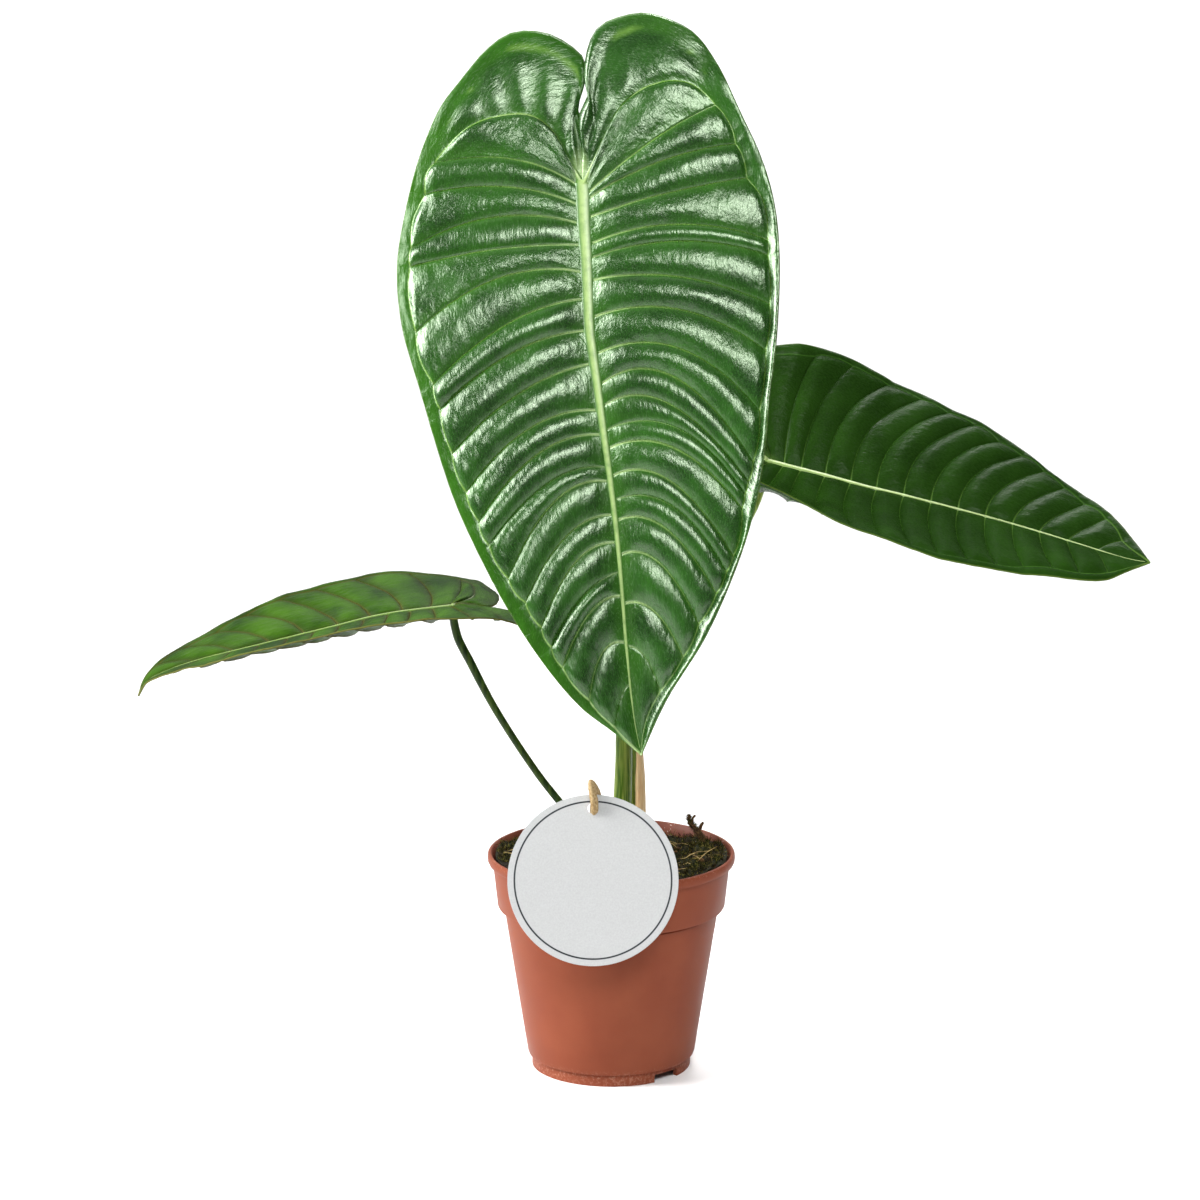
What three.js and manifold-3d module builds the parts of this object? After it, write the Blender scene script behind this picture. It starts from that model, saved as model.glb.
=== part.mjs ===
// A potted flamingo flower plant out of bloom: three heart-shaped leaves on stalks in a nursery pot.
// Millimetres, +Z up. The origin is on the pot's axis, in the plane that the pot stands on.
// -Y is the front, where the card leans on the lip and the large leaf faces.

import * as THREE from "three";
import { mergeVertices } from "three/addons/utils/BufferGeometryUtils.js";
import Module from "manifold-3d";

const wasm = await Module();
wasm.setup();

// Driving dimensions
const seatGap = 0.3; // between two pieces that touch on the real plant

const potHeight = 107;
const lipRadius = 60;
const lipHeight = 5;
const collarTopRadius = 57.5;
const collarBottomRadius = 55;
const collarBottomZ = 80;
const bodyTopRadius = 52.1;
const bodyBottomRadius = 40.8;
const bodyBottomZ = 7.5;
const footRadius = 38.6;
const footHeight = 5.6;
const footWidth = 2.4;
const potWall = 1.4;
const floorUnderZ = 5.2;
const floorTopZ = 7;
const hubRadius = 6; // the moulding boss under the floor's middle, level with the foot ring
const notchCount = 3;
const notchAngle = 22; // degrees
const notchHeight = 4;
const firstNotchAt = -46; // degrees from +X: the front right notch
const drainCount = 6;
const drainRadius = 3.2;
const drainCircle = 27;

const soilEdgeZ = 96;
const soilMoundHeight = 4; // towards the right and the left of the lip
const soilLumpHeight = 1.1;

const cardRadius = 40.4;
const cardThickness = 0.8;
const cardHoleRadius = 2.6;
const cardHoleUp = 34; // from the card's centre
const cardLean = 16.4; // degrees back from upright
const cardCentreX = -8.8;
const cardCentreZ = 109.6;

// Outline of the large blade, half by half: along the midrib from the sinus, and out from it.
// Each runs from the top of the lobe's inner edge, round the lobe, to the tip.
const leftHalfOutline = [
  [-46, -2.5], [-59, -5.5], [-67, -1], [-74, 8], [-77, 18], [-76.5, 29], [-69, 41], [-57, 53],
  [-46, 63], [-29, 73], [-7, 82], [25, 91], [55, 92], [90, 86], [140, 76], [170, 66], [192, 57],
  [219, 43], [242, 27], [257, 11], [268, 0],
];
const rightHalfOutline = [
  [-46, 7], [-62, 9], [-74, 15], [-78, 27], [-78, 38], [-73, 50], [-66, 60], [-55, 67.5], [-24, 79],
  [-4, 86], [18, 90], [44, 90], [86, 84], [109, 78.5], [132, 74], [155, 67.5], [182, 56], [215, 37],
  [243, 15], [268, 0],
];
const outlineLength = 268;
const outlineHalfWidth = 91;

// How the veins fan out, the same for each blade
const lobeShare = 0.238; // the part of a half's edge that the lobe's own veins reach
const veinCrowding = 1.5; // above 1, the veins leave the midrib closer together near the sinus
const midribBow = 3; // sideways, on the large blade
const bladeThickness = 0.8;
const marginVeinAt = 0.88; // the vein that runs along the edge, as a share of the way out
const columns = [0.17, 0.34, 0.54, 0.74, marginVeinAt, 1];

const colours = {
  terracotta: "#b9654a",
  soil: "#2b2716",
  largeLeaf: "#3f7a33",
  sideLeaf: "#2f5f28",
  paleSideLeaf: "#4d7a35",
  stalk: "#6b8f3a",
  bract: "#c9a577",
  twig: "#3a2c1a",
  card: "#e8e9e8",
  twine: "#d2ad78",
};

// Leaves: where the blade meets its stalk, where the tip points and where the upper face looks.
// spine is the midrib seen from the side, along and lifted, as shares of the length. fold and curl
// give each half's cross-section, left then right, from the sinus to the tip: the angle that it
// leaves the midrib at, in degrees, and how far its edge then bends down, or up where it is minus.
// lobeSize shortens the lobes, and tipFullness widens the last part before the tip.
const largeLeaf = {
  name: "leaf_large",
  sinus: [-13.5, 0, 431],
  length: 268,
  halfWidth: 91,
  tipWay: [27, -76, -256],
  faceWay: [-0.04, -1, 0.2],
  spine: [[0, 0], [0.25, 0.022], [0.5, 0.028], [0.8, 0.012], [1, -0.015]],
  lobeLift: -10,
  fold: [[5, 10, 17], [6, 11, 19]],
  curl: [[7, 7], [3, 3]],
  lobeSize: [1, 1],
  tipFullness: [0, 0],
  veins: 22,
  samples: 4,
  relief: 2.4,
  ribHalfWidth: 2.6,
  ribHeight: 1.1,
  colour: colours.largeLeaf,
};
const leftLeaf = {
  name: "leaf_left",
  sinus: [-77, 12.2, 226],
  length: 156,
  halfWidth: 54,
  tipWay: [-1, -0.02, -0.14],
  faceWay: [-0.1, -0.02, 1],
  spine: [[0, 0], [0.2, -0.012], [0.4, -0.042], [0.6, -0.064], [0.8, -0.08], [0.9, -0.092],
    [0.965, -0.11], [1, -0.145]],
  lobeLift: -14,
  fold: [[3, 13.5, 20, 17, 10], [0, 1, 0, 1, 12]],
  curl: [[0, 0], [-10, -12, -19, -28, -20]],
  lobeSize: [0.5, 0.9],
  tipFullness: [0, 0],
  veins: 14,
  samples: 3,
  relief: 1.5,
  ribHalfWidth: 1.8,
  ribHeight: 0.7,
  colour: colours.paleSideLeaf,
};
const rightLeaf = {
  name: "leaf_right",
  sinus: [75, 25, 295],
  length: 189,
  halfWidth: 68,
  tipWay: [186, -34, -37],
  faceWay: [0.1, -0.4, 0.92],
  spine: [[0, 0], [0.3, -0.004], [0.6, -0.02], [1, -0.045]],
  lobeLift: 4,
  fold: [[-15, 5, 5, 4, 3], [35, 19.5, 18.5, 12.5, 6]],
  curl: [[-54, -17, -6.5, -2, 2], [3, 3]],
  lobeSize: [1, 1],
  tipFullness: [0.45, 1.15],
  veins: 16,
  samples: 3,
  relief: 1.4,
  ribHalfWidth: 2.1,
  ribHeight: 0.8,
  colour: colours.sideLeaf,
};

const leaves = [largeLeaf, leftLeaf, rightLeaf];

// Stalks: points up the middle, short of the blade, and radii spread over the whole length
const stalks = {
  leaf_large: {
    points: [[3.5, 1, 84], [4.4, 1.5, 112], [6, 3, 160], [1, 9, 260], [-7, 12, 350], [-12.8, 11, 416]],
    radii: [3.6, 4.4, 3.7, 2.6, 2.4, 2.5, 2.8, 2.4],
  },
  leaf_left: {
    points: [[-3.5, 3, 84], [-8, 3.2, 106], [-23.5, 4, 128.5], [-33.4, 5.5, 141], [-46.8, 7.5, 160.6],
      [-58.6, 9.5, 180], [-68.6, 11.5, 199.4], [-73.9, 12, 210]],
    radii: [2.8, 2.6, 2, 1.8, 1.75, 1.75, 1.8, 2, 2.1, 2],
  },
  leaf_right: {
    points: [[10.4, 9.5, 84], [11, 10, 130], [13, 11, 168], [38, 16, 220], [68.5, 23.5, 272]],
    radii: [2.9, 2.5, 2.2, 1.9, 1.9, 2.1, 2],
  },
};
const dryBract = {
  points: [[14.4, -3, 80], [14.5, -3, 112], [14.2, -3, 133], [13.7, -2.5, 156], [13, -2, 180]],
  widths: [2.8, 2.8, 2.5, 1.6, 0.6],
  depth: 0.45,
};
const twigStem = [[47, 24, 86], [45.8, 25, 103], [41.5, 25, 111], [38.4, 25, 114.6], [38.2, 25, 118.6]];
const twigFork = [[39.3, 25, 113.8], [39.9, 25.6, 116.2], [41.2, 25.6, 117.9]];
const twigRadius = 1.3;
const tieKnot = [4.9, 1.8, 120]; // where the large stalk passes through the loop
const tieLoopRadius = 5.9;
const tieWidth = 3;
const tieThickness = 1.7;
const crown = { x: 3.5, y: 3, radius: 13, top: 101, bottom: 82 };

// Solids and booleans

// A closed geometry as a manifold solid.
function solidOf(geometry) {
  const bare = geometry.clone();
  bare.deleteAttribute("normal");
  bare.deleteAttribute("uv");
  const merged = mergeVertices(bare, 1e-4);
  return new wasm.Manifold(
    new wasm.Mesh({
      numProp: 3,
      vertProperties: merged.attributes.position.array,
      triVerts: new Uint32Array(merged.index.array),
    }),
  );
}

// A manifold solid back as a geometry.
function geometryOf(solid) {
  const mesh = solid.getMesh();
  const geometry = new THREE.BufferGeometry();
  geometry.setAttribute("position", new THREE.BufferAttribute(mesh.vertProperties, 3));
  geometry.setIndex(new THREE.BufferAttribute(mesh.triVerts, 1));
  geometry.computeVertexNormals();
  return geometry;
}

function indexed(vertices, triangles) {
  const geometry = new THREE.BufferGeometry();
  geometry.setAttribute("position", new THREE.Float32BufferAttribute(vertices.flat(), 3));
  geometry.setIndex(triangles.flat());
  geometry.computeVertexNormals();
  return geometry;
}

// A geometry turned about Z from three's +Y-up lathe to +Z up.
function lathe(profile, segments) {
  const points = profile.map(([r, z]) => new THREE.Vector2(r, z));
  return new THREE.LatheGeometry(points, segments).rotateX(Math.PI / 2);
}

function pieceOf(name, geometry, colour, roughness) {
  const material = new THREE.MeshStandardMaterial({ color: colour, roughness, metalness: 0 });
  const mesh = new THREE.Mesh(geometry, material);
  mesh.name = name;
  return mesh;
}

// A value between listed ones, evenly spaced over t from 0 to 1.
function between(list, t) {
  const at = Math.min(Math.max(t, 0), 1) * (list.length - 1);
  const low = Math.min(Math.floor(at), list.length - 2);
  return list[low] + (list[low + 1] - list[low]) * (at - low);
}

function smooth(low, high, value) {
  return THREE.MathUtils.smoothstep(value, low, high);
}

function curveThrough(points) {
  return new THREE.CatmullRomCurve3(points.map((p) => new THREE.Vector3(...p)), false, "centripetal");
}

// A tapering tube along a curve, closed at both ends. sizeAt gives its two half-widths at t.
function sweep(curve, sizeAt, sides, steps) {
  const frames = curve.computeFrenetFrames(steps, false);
  const vertices = [];
  const triangles = [];
  for (let i = 0; i <= steps; i++) {
    const centre = curve.getPointAt(i / steps);
    const [wide, thick] = sizeAt(i / steps);
    for (let k = 0; k < sides; k++) {
      const turn = (2 * Math.PI * k) / sides;
      const point = centre.clone();
      point.addScaledVector(frames.normals[i], thick * Math.cos(turn));
      point.addScaledVector(frames.binormals[i], wide * Math.sin(turn));
      vertices.push(point.toArray());
    }
  }
  for (let i = 0; i < steps; i++) {
    for (let k = 0; k < sides; k++) {
      const a = i * sides + k;
      const b = i * sides + ((k + 1) % sides);
      triangles.push([a, b, b + sides], [a, b + sides, a + sides]);
    }
  }
  for (let k = 1; k < sides - 1; k++) {
    const last = steps * sides;
    triangles.push([0, k + 1, k], [last, last + k, last + k + 1]);
  }
  return indexed(vertices, triangles);
}

// A stalk ends square under the sinus, a gap clear of the blade.
function stalkTube(leaf, extra) {
  const stalk = stalks[leaf.name];
  const { face } = frameOf(leaf);
  const under = bladeThickness / 2 + leaf.ribHeight + seatGap;
  const ends = [under + 5, under].map((depth) => new THREE.Vector3(...leaf.sinus)
    .addScaledVector(face, -depth).toArray());
  const curve = curveThrough([...stalk.points, ...ends]);
  const sizeAt = (t) => {
    const radius = between(stalk.radii, t) + extra;
    return [radius, radius];
  };
  return sweep(curve, sizeAt, 8, 20);
}

function bractTube(extra) {
  const sizeAt = (t) => {
    const half = between(dryBract.widths, t);
    return [half * dryBract.depth + 0.4 + extra, half + extra];
  };
  return sweep(curveThrough(dryBract.points), sizeAt, 10, 10);
}

function twigTube(extra) {
  const stemSize = (t) => [twigRadius * (1 - 0.45 * t) + extra, twigRadius * (1 - 0.45 * t) + extra];
  const forkSize = (t) => [0.8 * (1 - 0.3 * t), 0.8 * (1 - 0.3 * t)];
  const stem = solidOf(sweep(curveThrough(twigStem), stemSize, 7, 12));
  return stem.add(solidOf(sweep(curveThrough(twigFork), forkSize, 6, 4)));
}

// Leaf blades

// Where a vein line leaves the midrib, as a share of the length, for a line that ends at share x
// of the half's edge.
function rootShare(x) {
  return Math.max(0, (x - lobeShare) / (1 - lobeShare)) ** veinCrowding;
}

function bowAt(share) {
  return -midribBow * Math.sin(Math.PI * Math.min(1, Math.max(0, share)) ** 0.55);
}

// The flat place of the point at share q along the vein line that ends at share x of the edge:
// along the midrib and to the side, in the large blade's millimetres. side is -1 left, 1 right.
function flatPlace(edge, side, x, q) {
  const root = rootShare(x);
  const start = new THREE.Vector2(root * outlineLength, bowAt(root));
  const end = edge.getPointAt(x);
  const target = new THREE.Vector2(end.x, side * end.y);
  const lobe = 1 - smooth(0, lobeShare * 1.5, x);
  const middle = new THREE.Vector2(
    THREE.MathUtils.lerp(start.x, target.x, 0.75 * lobe),
    THREE.MathUtils.lerp(start.y, target.y, 0.6 - 0.25 * lobe),
  );
  const bend = new THREE.QuadraticBezierCurve(start, middle, target);
  return bend.getPoint(q);
}

// Where x moves to, so that the veins aren't evenly spaced.
function uneven(x) {
  return x + 0.006 * Math.sin(2 * Math.PI * 2.6 * x) * Math.sin(Math.PI * x);
}

// How far the tissue swells up between two veins at that point.
function swelling(leaf, side, x, q) {
  const phase = leaf.veins * x + (side > 0 ? 0.5 : 0);
  const pillow = Math.abs(Math.sin(Math.PI * phase));
  const spread = THREE.MathUtils.lerp(Math.min(1, 1.6 * rootShare(x) ** 0.3), 1, q);
  const ends = smooth(0, 0.22, x) * 0.6 + 0.4 - smooth(0.93, 1, x) * 0.8;
  const across = smooth(0.04, 0.3, q) * (1 - smooth(0.74, marginVeinAt, q));
  return leaf.relief * pillow * spread * Math.max(0, ends) * across;
}

// The blade's middle surface: one point for each vein line and column on both halves.
function bladePlace(leaf, frame, spine, side, x, q, flat) {
  const half = side < 0 ? 0 : 1;
  const share = (flat.x / outlineLength) * (flat.x < 0 ? leaf.lobeSize[half] : 1);
  const along = share * leaf.length;
  const fullness = 1 + leaf.tipFullness[half] * smooth(0.6, 1, share) ** 3;
  const out = (flat.y / outlineHalfWidth) * leaf.halfWidth * fullness;
  let base = new THREE.Vector2(along, leaf.lobeLift * (along / (0.28 * leaf.length)) ** 2);
  let slope = (2 * leaf.lobeLift * along) / (0.28 * leaf.length) ** 2;
  if (share >= 0) {
    const point = spine.getPointAt(Math.min(1, share));
    const way = spine.getTangentAt(Math.min(1, share));
    base = new THREE.Vector2(point.x * leaf.length, point.y * leaf.length);
    slope = way.y / way.x;
  }
  const tilt = Math.atan(slope);
  const fold = THREE.MathUtils.degToRad(between(leaf.fold[half], share));
  const reach = Math.abs(out);
  const sideways = out * Math.cos(fold);
  const curl = between(leaf.curl[half], share) * (reach / leaf.halfWidth) ** 2;
  const height = reach * Math.sin(fold) - curl + swelling(leaf, side, x, q);
  const point = new THREE.Vector3(...leaf.sinus);
  point.addScaledVector(frame.tip, base.x - height * Math.sin(tilt));
  point.addScaledVector(frame.face, base.y + height * Math.cos(tilt));
  point.addScaledVector(frame.right, sideways);
  return point;
}

// The blade's own directions: towards the tip, out of the upper face, and to the right.
function frameOf(leaf) {
  const tip = new THREE.Vector3(...leaf.tipWay).normalize();
  const right = new THREE.Vector3().crossVectors(new THREE.Vector3(...leaf.faceWay), tip).normalize();
  const face = new THREE.Vector3().crossVectors(tip, right).normalize();
  return { tip, right, face };
}

// The middle surface as shared points and triangles, with the upper face outwards.
function bladeSheet(leaf) {
  const frame = frameOf(leaf);
  const spine = new THREE.SplineCurve(leaf.spine.map(([a, b]) => new THREE.Vector2(a, b)));
  const edges = [leftHalfOutline, rightHalfOutline].map(
    (outline) => new THREE.CatmullRomCurve3(
      outline.map(([a, b]) => new THREE.Vector3(a, b, 0)), false, "centripetal"),
  );
  const lines = leaf.veins * leaf.samples;
  const points = [];
  const extra = [];
  const known = new Map();
  const triangles = [];

  function vertexAt(side, line, column) {
    const x = uneven(line / lines);
    const edge = edges[side < 0 ? 0 : 1];
    const whole = flatPlace(edge, side, x, 1);
    const start = flatPlace(edge, side, x, 0);
    const size = whole.distanceTo(start);
    const foot = Math.min(0.09, leaf.ribHalfWidth * (1 - 0.6 * rootShare(x)) / Math.max(size, 1));
    const q = column === 0 ? 0 : column === 1 ? foot : columns[column - 2];
    const flat = flatPlace(edge, side, x, q);
    const key = flat.x.toFixed(3) + "," + (column === 0 ? 0 : flat.y.toFixed(3));
    if (!known.has(key)) {
      known.set(key, points.length);
      points.push(bladePlace(leaf, frame, spine, side, line / lines, q, flat));
      extra.push(column === 0 ? leaf.ribHeight * (1 - 0.5 * rootShare(x)) : 0);
    }
    return known.get(key);
  }

  for (const side of [-1, 1]) {
    for (let line = 0; line < lines; line++) {
      for (let column = 0; column <= columns.length; column++) {
        const a = vertexAt(side, line, column);
        const b = vertexAt(side, line + 1, column);
        const c = vertexAt(side, line + 1, column + 1);
        const d = vertexAt(side, line, column + 1);
        const faces = side > 0 ? [[a, b, c], [a, c, d]] : [[a, c, b], [a, d, c]];
        triangles.push(...faces.filter(([e, f, g]) => e !== f && f !== g && g !== e));
      }
    }
  }
  return { points, extra, triangles, frame };
}

// A sheet given its thickness: the same triangles on both faces and a wall round the edge.
function thicken(sheet) {
  const normals = sheet.points.map(() => new THREE.Vector3());
  for (const [a, b, c] of sheet.triangles) {
    const first = sheet.points[b].clone().sub(sheet.points[a]);
    const cross = first.cross(sheet.points[c].clone().sub(sheet.points[a]));
    [a, b, c].forEach((at) => normals[at].add(cross));
  }
  normals.forEach((normal) => normal.normalize());
  const count = sheet.points.length;
  const upper = sheet.points.map((point, i) => point.clone()
    .addScaledVector(normals[i], bladeThickness / 2 + sheet.extra[i]).toArray());
  const lower = sheet.points.map((point, i) => point.clone()
    .addScaledVector(normals[i], -bladeThickness / 2 - sheet.extra[i]).toArray());
  const triangles = [];
  const open = new Map();
  for (const [a, b, c] of sheet.triangles) {
    triangles.push([a, b, c], [a + count, c + count, b + count]);
    for (const [from, to] of [[a, b], [b, c], [c, a]]) {
      if (!open.delete(to + "," + from)) open.set(from + "," + to, [from, to]);
    }
  }
  for (const [from, to] of open.values()) {
    triangles.push([from, to + count, to], [from, from + count, to + count]);
  }
  return indexed([...upper, ...lower], triangles);
}

function leafBlade(leaf) {
  return pieceOf(leaf.name + "_blade", thicken(bladeSheet(leaf)), leaf.colour, 0.35);
}

function leafPetiole(leaf) {
  return pieceOf(leaf.name + "_petiole", stalkTube(leaf, 0), colours.stalk, 0.5);
}

// Pot

function potPiece() {
  const lipTopZ = potHeight;
  const lipBottomZ = potHeight - lipHeight;
  const innerLip = lipRadius - 3.6;
  const shell = lathe([
    [0, 0],
    [hubRadius, 0],
    [hubRadius, floorUnderZ],
    [footRadius - footWidth, floorUnderZ],
    [footRadius - footWidth, 0],
    [footRadius, 0],
    [footRadius, footHeight],
    [bodyBottomRadius - 0.5, footHeight + 0.6],
    [bodyBottomRadius, bodyBottomZ],
    [bodyTopRadius, collarBottomZ],
    [collarBottomRadius, collarBottomZ + 0.5],
    [collarTopRadius, lipBottomZ],
    [lipRadius - 0.7, lipBottomZ + 0.5],
    [lipRadius, lipBottomZ + 2.3],
    [lipRadius - 0.7, lipTopZ - 0.7],
    [lipRadius - 1.8, lipTopZ],
    [innerLip, lipTopZ - 0.5],
    [collarTopRadius - potWall, lipBottomZ],
    [collarBottomRadius - potWall, collarBottomZ + 1.8],
    [bodyTopRadius - potWall, collarBottomZ + 0.6],
    [bodyBottomRadius - potWall, floorTopZ],
    [0, floorTopZ],
  ], 40);
  let pot = solidOf(shell);
  for (let i = 0; i < notchCount; i++) {
    const span = THREE.MathUtils.degToRad(notchAngle);
    const middle = THREE.MathUtils.degToRad(firstNotchAt + (360 / notchCount) * i);
    const sector = new THREE.Shape();
    sector.moveTo(Math.cos(middle - span / 2) * 32, Math.sin(middle - span / 2) * 32);
    sector.absarc(0, 0, footRadius + 4, middle - span / 2, middle + span / 2, false);
    sector.lineTo(Math.cos(middle + span / 2) * 32, Math.sin(middle + span / 2) * 32);
    const block = new THREE.ExtrudeGeometry(sector, {
      depth: notchHeight + 5, bevelEnabled: false, curveSegments: 6,
    });
    pot = pot.subtract(solidOf(block.translate(0, 0, -5)));
  }
  for (let i = 0; i < drainCount; i++) {
    const turn = (2 * Math.PI * (i + 0.5)) / drainCount;
    const drill = new THREE.CylinderGeometry(drainRadius, drainRadius, 10, 12).rotateX(Math.PI / 2);
    drill.translate(drainCircle * Math.cos(turn), drainCircle * Math.sin(turn), floorTopZ - 1);
    pot = pot.subtract(solidOf(drill));
  }
  return pieceOf("pot", geometryOf(pot), colours.terracotta, 0.5);
}

// Soil, with plain holes for what stands in it

function soilHeight(x, y) {
  const reach = Math.hypot(x, y) / bodyTopRadius;
  const mound = soilMoundHeight * smooth(0.35, 1, reach) * (x / (Math.hypot(x, y) + 1)) ** 2;
  const lumps = Math.sin(0.42 * x + 1.3) * Math.sin(0.37 * y - 0.4)
    + 0.6 * Math.sin(0.71 * x - 0.5 * y + 2.1);
  return soilEdgeZ + mound + soilLumpHeight * lumps;
}

function soilPiece() {
  const segments = 32;
  const gap = seatGap + 0.05;
  const topRings = [8, 16, 24, 32, 40, 47, 54];
  const wallAt = (z) => THREE.MathUtils.mapLinear(z, collarBottomZ + 1.8, potHeight - lipHeight,
    collarBottomRadius - potWall, collarTopRadius - potWall) - 0.6;
  const sideRings = [
    [collarBottomRadius - potWall - gap, collarBottomZ + 2.4],
    [bodyTopRadius - potWall - gap - 0.2, collarBottomZ + 0.4],
    [bodyBottomRadius - potWall - gap - 0.2, floorTopZ + seatGap],
  ];
  const vertices = [[0, 0, soilHeight(0, 0)]];
  const rings = [
    ...topRings.map((r) => (x, y) => [x * r, y * r, soilHeight(x * r, y * r)]),
    (x, y) => {
      const z = soilHeight(x * 54, y * 54) - 1.5;
      return [x * wallAt(z), y * wallAt(z), z];
    },
    ...sideRings.map(([r, z]) => (x, y) => [x * r, y * r, z]),
  ];
  for (const ring of rings) {
    for (let k = 0; k < segments; k++) {
      const turn = (2 * Math.PI * k) / segments;
      vertices.push(ring(Math.cos(turn), Math.sin(turn)));
    }
  }
  const bottom = vertices.length;
  vertices.push([0, 0, floorTopZ + seatGap]);
  const triangles = [];
  for (let k = 0; k < segments; k++) {
    const next = (k + 1) % segments;
    triangles.push([0, 1 + k, 1 + next]);
    for (let i = 0; i < rings.length - 1; i++) {
      const a = 1 + i * segments;
      triangles.push([a + k, a + segments + k, a + segments + next]);
      triangles.push([a + k, a + segments + next, a + next]);
    }
    const last = 1 + (rings.length - 1) * segments;
    triangles.push([last + k, bottom, last + next]);
  }
  let soil = solidOf(indexed(vertices, triangles));
  soil = soil.subtract(crownSolid(seatGap));
  soil = soil.subtract(solidOf(bractTube(seatGap)));
  soil = soil.subtract(twigTube(seatGap));
  for (const leaf of leaves) soil = soil.subtract(solidOf(stalkTube(leaf, seatGap)));
  const largest = soil.decompose().sort((a, b) => b.volume() - a.volume())[0];
  return pieceOf("soil", geometryOf(largest), colours.soil, 0.95);
}

// Crown: the short stem, with holes for the stalks

function crownSolid(extra) {
  const r = crown.radius + extra;
  const shape = lathe([
    [0, crown.bottom - extra],
    [r * 0.7, crown.bottom - extra],
    [r, crown.bottom + 5],
    [r * 0.92, crown.top - 5],
    [r * 0.6, crown.top - 1 + extra],
    [0, crown.top + extra],
  ], 18);
  return solidOf(shape.scale(1, 0.8, 1).translate(crown.x, crown.y, 0));
}

function crownPiece() {
  let stem = crownSolid(0);
  for (const leaf of leaves) stem = stem.subtract(solidOf(stalkTube(leaf, seatGap)));
  stem = stem.subtract(solidOf(bractTube(seatGap)));
  const largest = stem.decompose().sort((a, b) => b.volume() - a.volume())[0];
  return pieceOf("crown", geometryOf(largest), colours.bract, 0.8);
}

// Card and its tie

// A place on the card: right of its centre, up its face and out of it towards the front.
function onCard(right, up, out) {
  const lean = THREE.MathUtils.degToRad(cardLean);
  const back = lipRadius + seatGap;
  const centreY = -back - cardThickness / 2 / Math.cos(lean);
  const rise = (potHeight - lipHeight / 2 - cardCentreZ) * Math.tan(lean);
  const y = centreY - rise;
  return [
    cardCentreX + right,
    y + up * Math.sin(lean) - out * Math.cos(lean),
    cardCentreZ + up * Math.cos(lean) + out * Math.sin(lean),
  ];
}

function cardPiece() {
  const disc = new THREE.Shape().absarc(0, 0, cardRadius, 0, 2 * Math.PI, false);
  disc.holes.push(new THREE.Path().absarc(0, cardHoleUp, cardHoleRadius, 0, 2 * Math.PI, true));
  const card = new THREE.ExtrudeGeometry(disc, {
    depth: cardThickness, bevelEnabled: false, curveSegments: 24,
  });
  card.translate(0, 0, -cardThickness / 2);
  const lean = THREE.MathUtils.degToRad(cardLean);
  card.rotateX(Math.PI / 2 - lean);
  card.translate(...onCard(0, 0, 0));
  return pieceOf("tag", card, colours.card, 0.6);
}

function tiePiece() {
  const [x, y, z] = tieKnot;
  const r = tieLoopRadius;
  const points = [
    [x + 1, y + r, z],
    [x + r * 0.75, y + r * 0.7, z],
    [x + r, y - 1, z],
    [x + r * 0.4, y - 15, z - 1],
    [x - 6, y - 34, z],
    onCard(2.6, 38, -3.4),
    onCard(0.8, 42.6, -2.2),
    onCard(-0.6, 44.8, 0.2),
    onCard(-0.2, 41.4, 2.6),
    onCard(0.8, 37, 2.4),
    onCard(1.2, cardHoleUp - 0.8, 0.2),
    onCard(0.8, 31.5, -3.4),
    [x - 12, y - 30, z - 3],
    [x - r * 0.9, y - 14, z - 2],
    [x - r, y, z],
    [x - r * 0.7, y + r * 0.72, z],
    [x - 1, y + r, z],
  ];
  const sizeAt = () => [tieWidth / 2, tieThickness / 2];
  return pieceOf("tie", sweep(curveThrough(points), sizeAt, 6, 48), colours.twine, 0.85);
}

const group = new THREE.Group();
group.add(potPiece(), soilPiece(), crownPiece());
for (const leaf of leaves) group.add(leafPetiole(leaf), leafBlade(leaf));
group.add(
  pieceOf("cataphyll", bractTube(0), colours.bract, 0.8),
  pieceOf("twig", geometryOf(twigTube(0)), colours.twig, 0.9),
  cardPiece(),
  tiePiece(),
);

export default group;
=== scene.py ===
import bmesh
import bpy
import math
import numpy as np
import random
from mathutils import Matrix, Vector, noise


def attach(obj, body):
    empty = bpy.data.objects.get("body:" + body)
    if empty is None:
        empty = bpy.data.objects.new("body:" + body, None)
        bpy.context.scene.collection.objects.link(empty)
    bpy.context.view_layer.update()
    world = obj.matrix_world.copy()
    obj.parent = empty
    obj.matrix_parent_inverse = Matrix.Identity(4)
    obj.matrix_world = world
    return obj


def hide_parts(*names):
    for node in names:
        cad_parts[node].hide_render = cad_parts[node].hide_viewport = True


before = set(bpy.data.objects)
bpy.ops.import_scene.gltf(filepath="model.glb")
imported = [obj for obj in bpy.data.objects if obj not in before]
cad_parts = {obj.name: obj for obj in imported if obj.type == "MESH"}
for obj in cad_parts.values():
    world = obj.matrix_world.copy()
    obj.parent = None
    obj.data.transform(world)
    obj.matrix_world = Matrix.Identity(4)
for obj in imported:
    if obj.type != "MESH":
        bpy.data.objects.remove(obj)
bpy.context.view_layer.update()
scene = bpy.context.scene
mm = 0.001

# Helpers


def deselectAll():
    for item in list(bpy.context.selected_objects):
        item.select_set(False)


def choose(piece):
    deselectAll()
    piece.select_set(True)
    bpy.context.view_layer.objects.active = piece
    return piece


def finishWith(piece, kind, **settings):  # adds a modifier and applies it
    choose(piece)
    modifier = piece.modifiers.new(kind.lower(), kind)
    for name, value in settings.items():
        setattr(modifier, name, value)
    bpy.ops.object.modifier_apply(modifier=modifier.name)


def settle(piece):  # its place goes into its mesh
    choose(piece)
    bpy.ops.object.transform_apply(location=True, rotation=True, scale=True)


def smoothBy(piece, degrees=35):
    choose(piece)
    bpy.ops.object.shade_smooth_by_angle(angle=math.radians(degrees))


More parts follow.
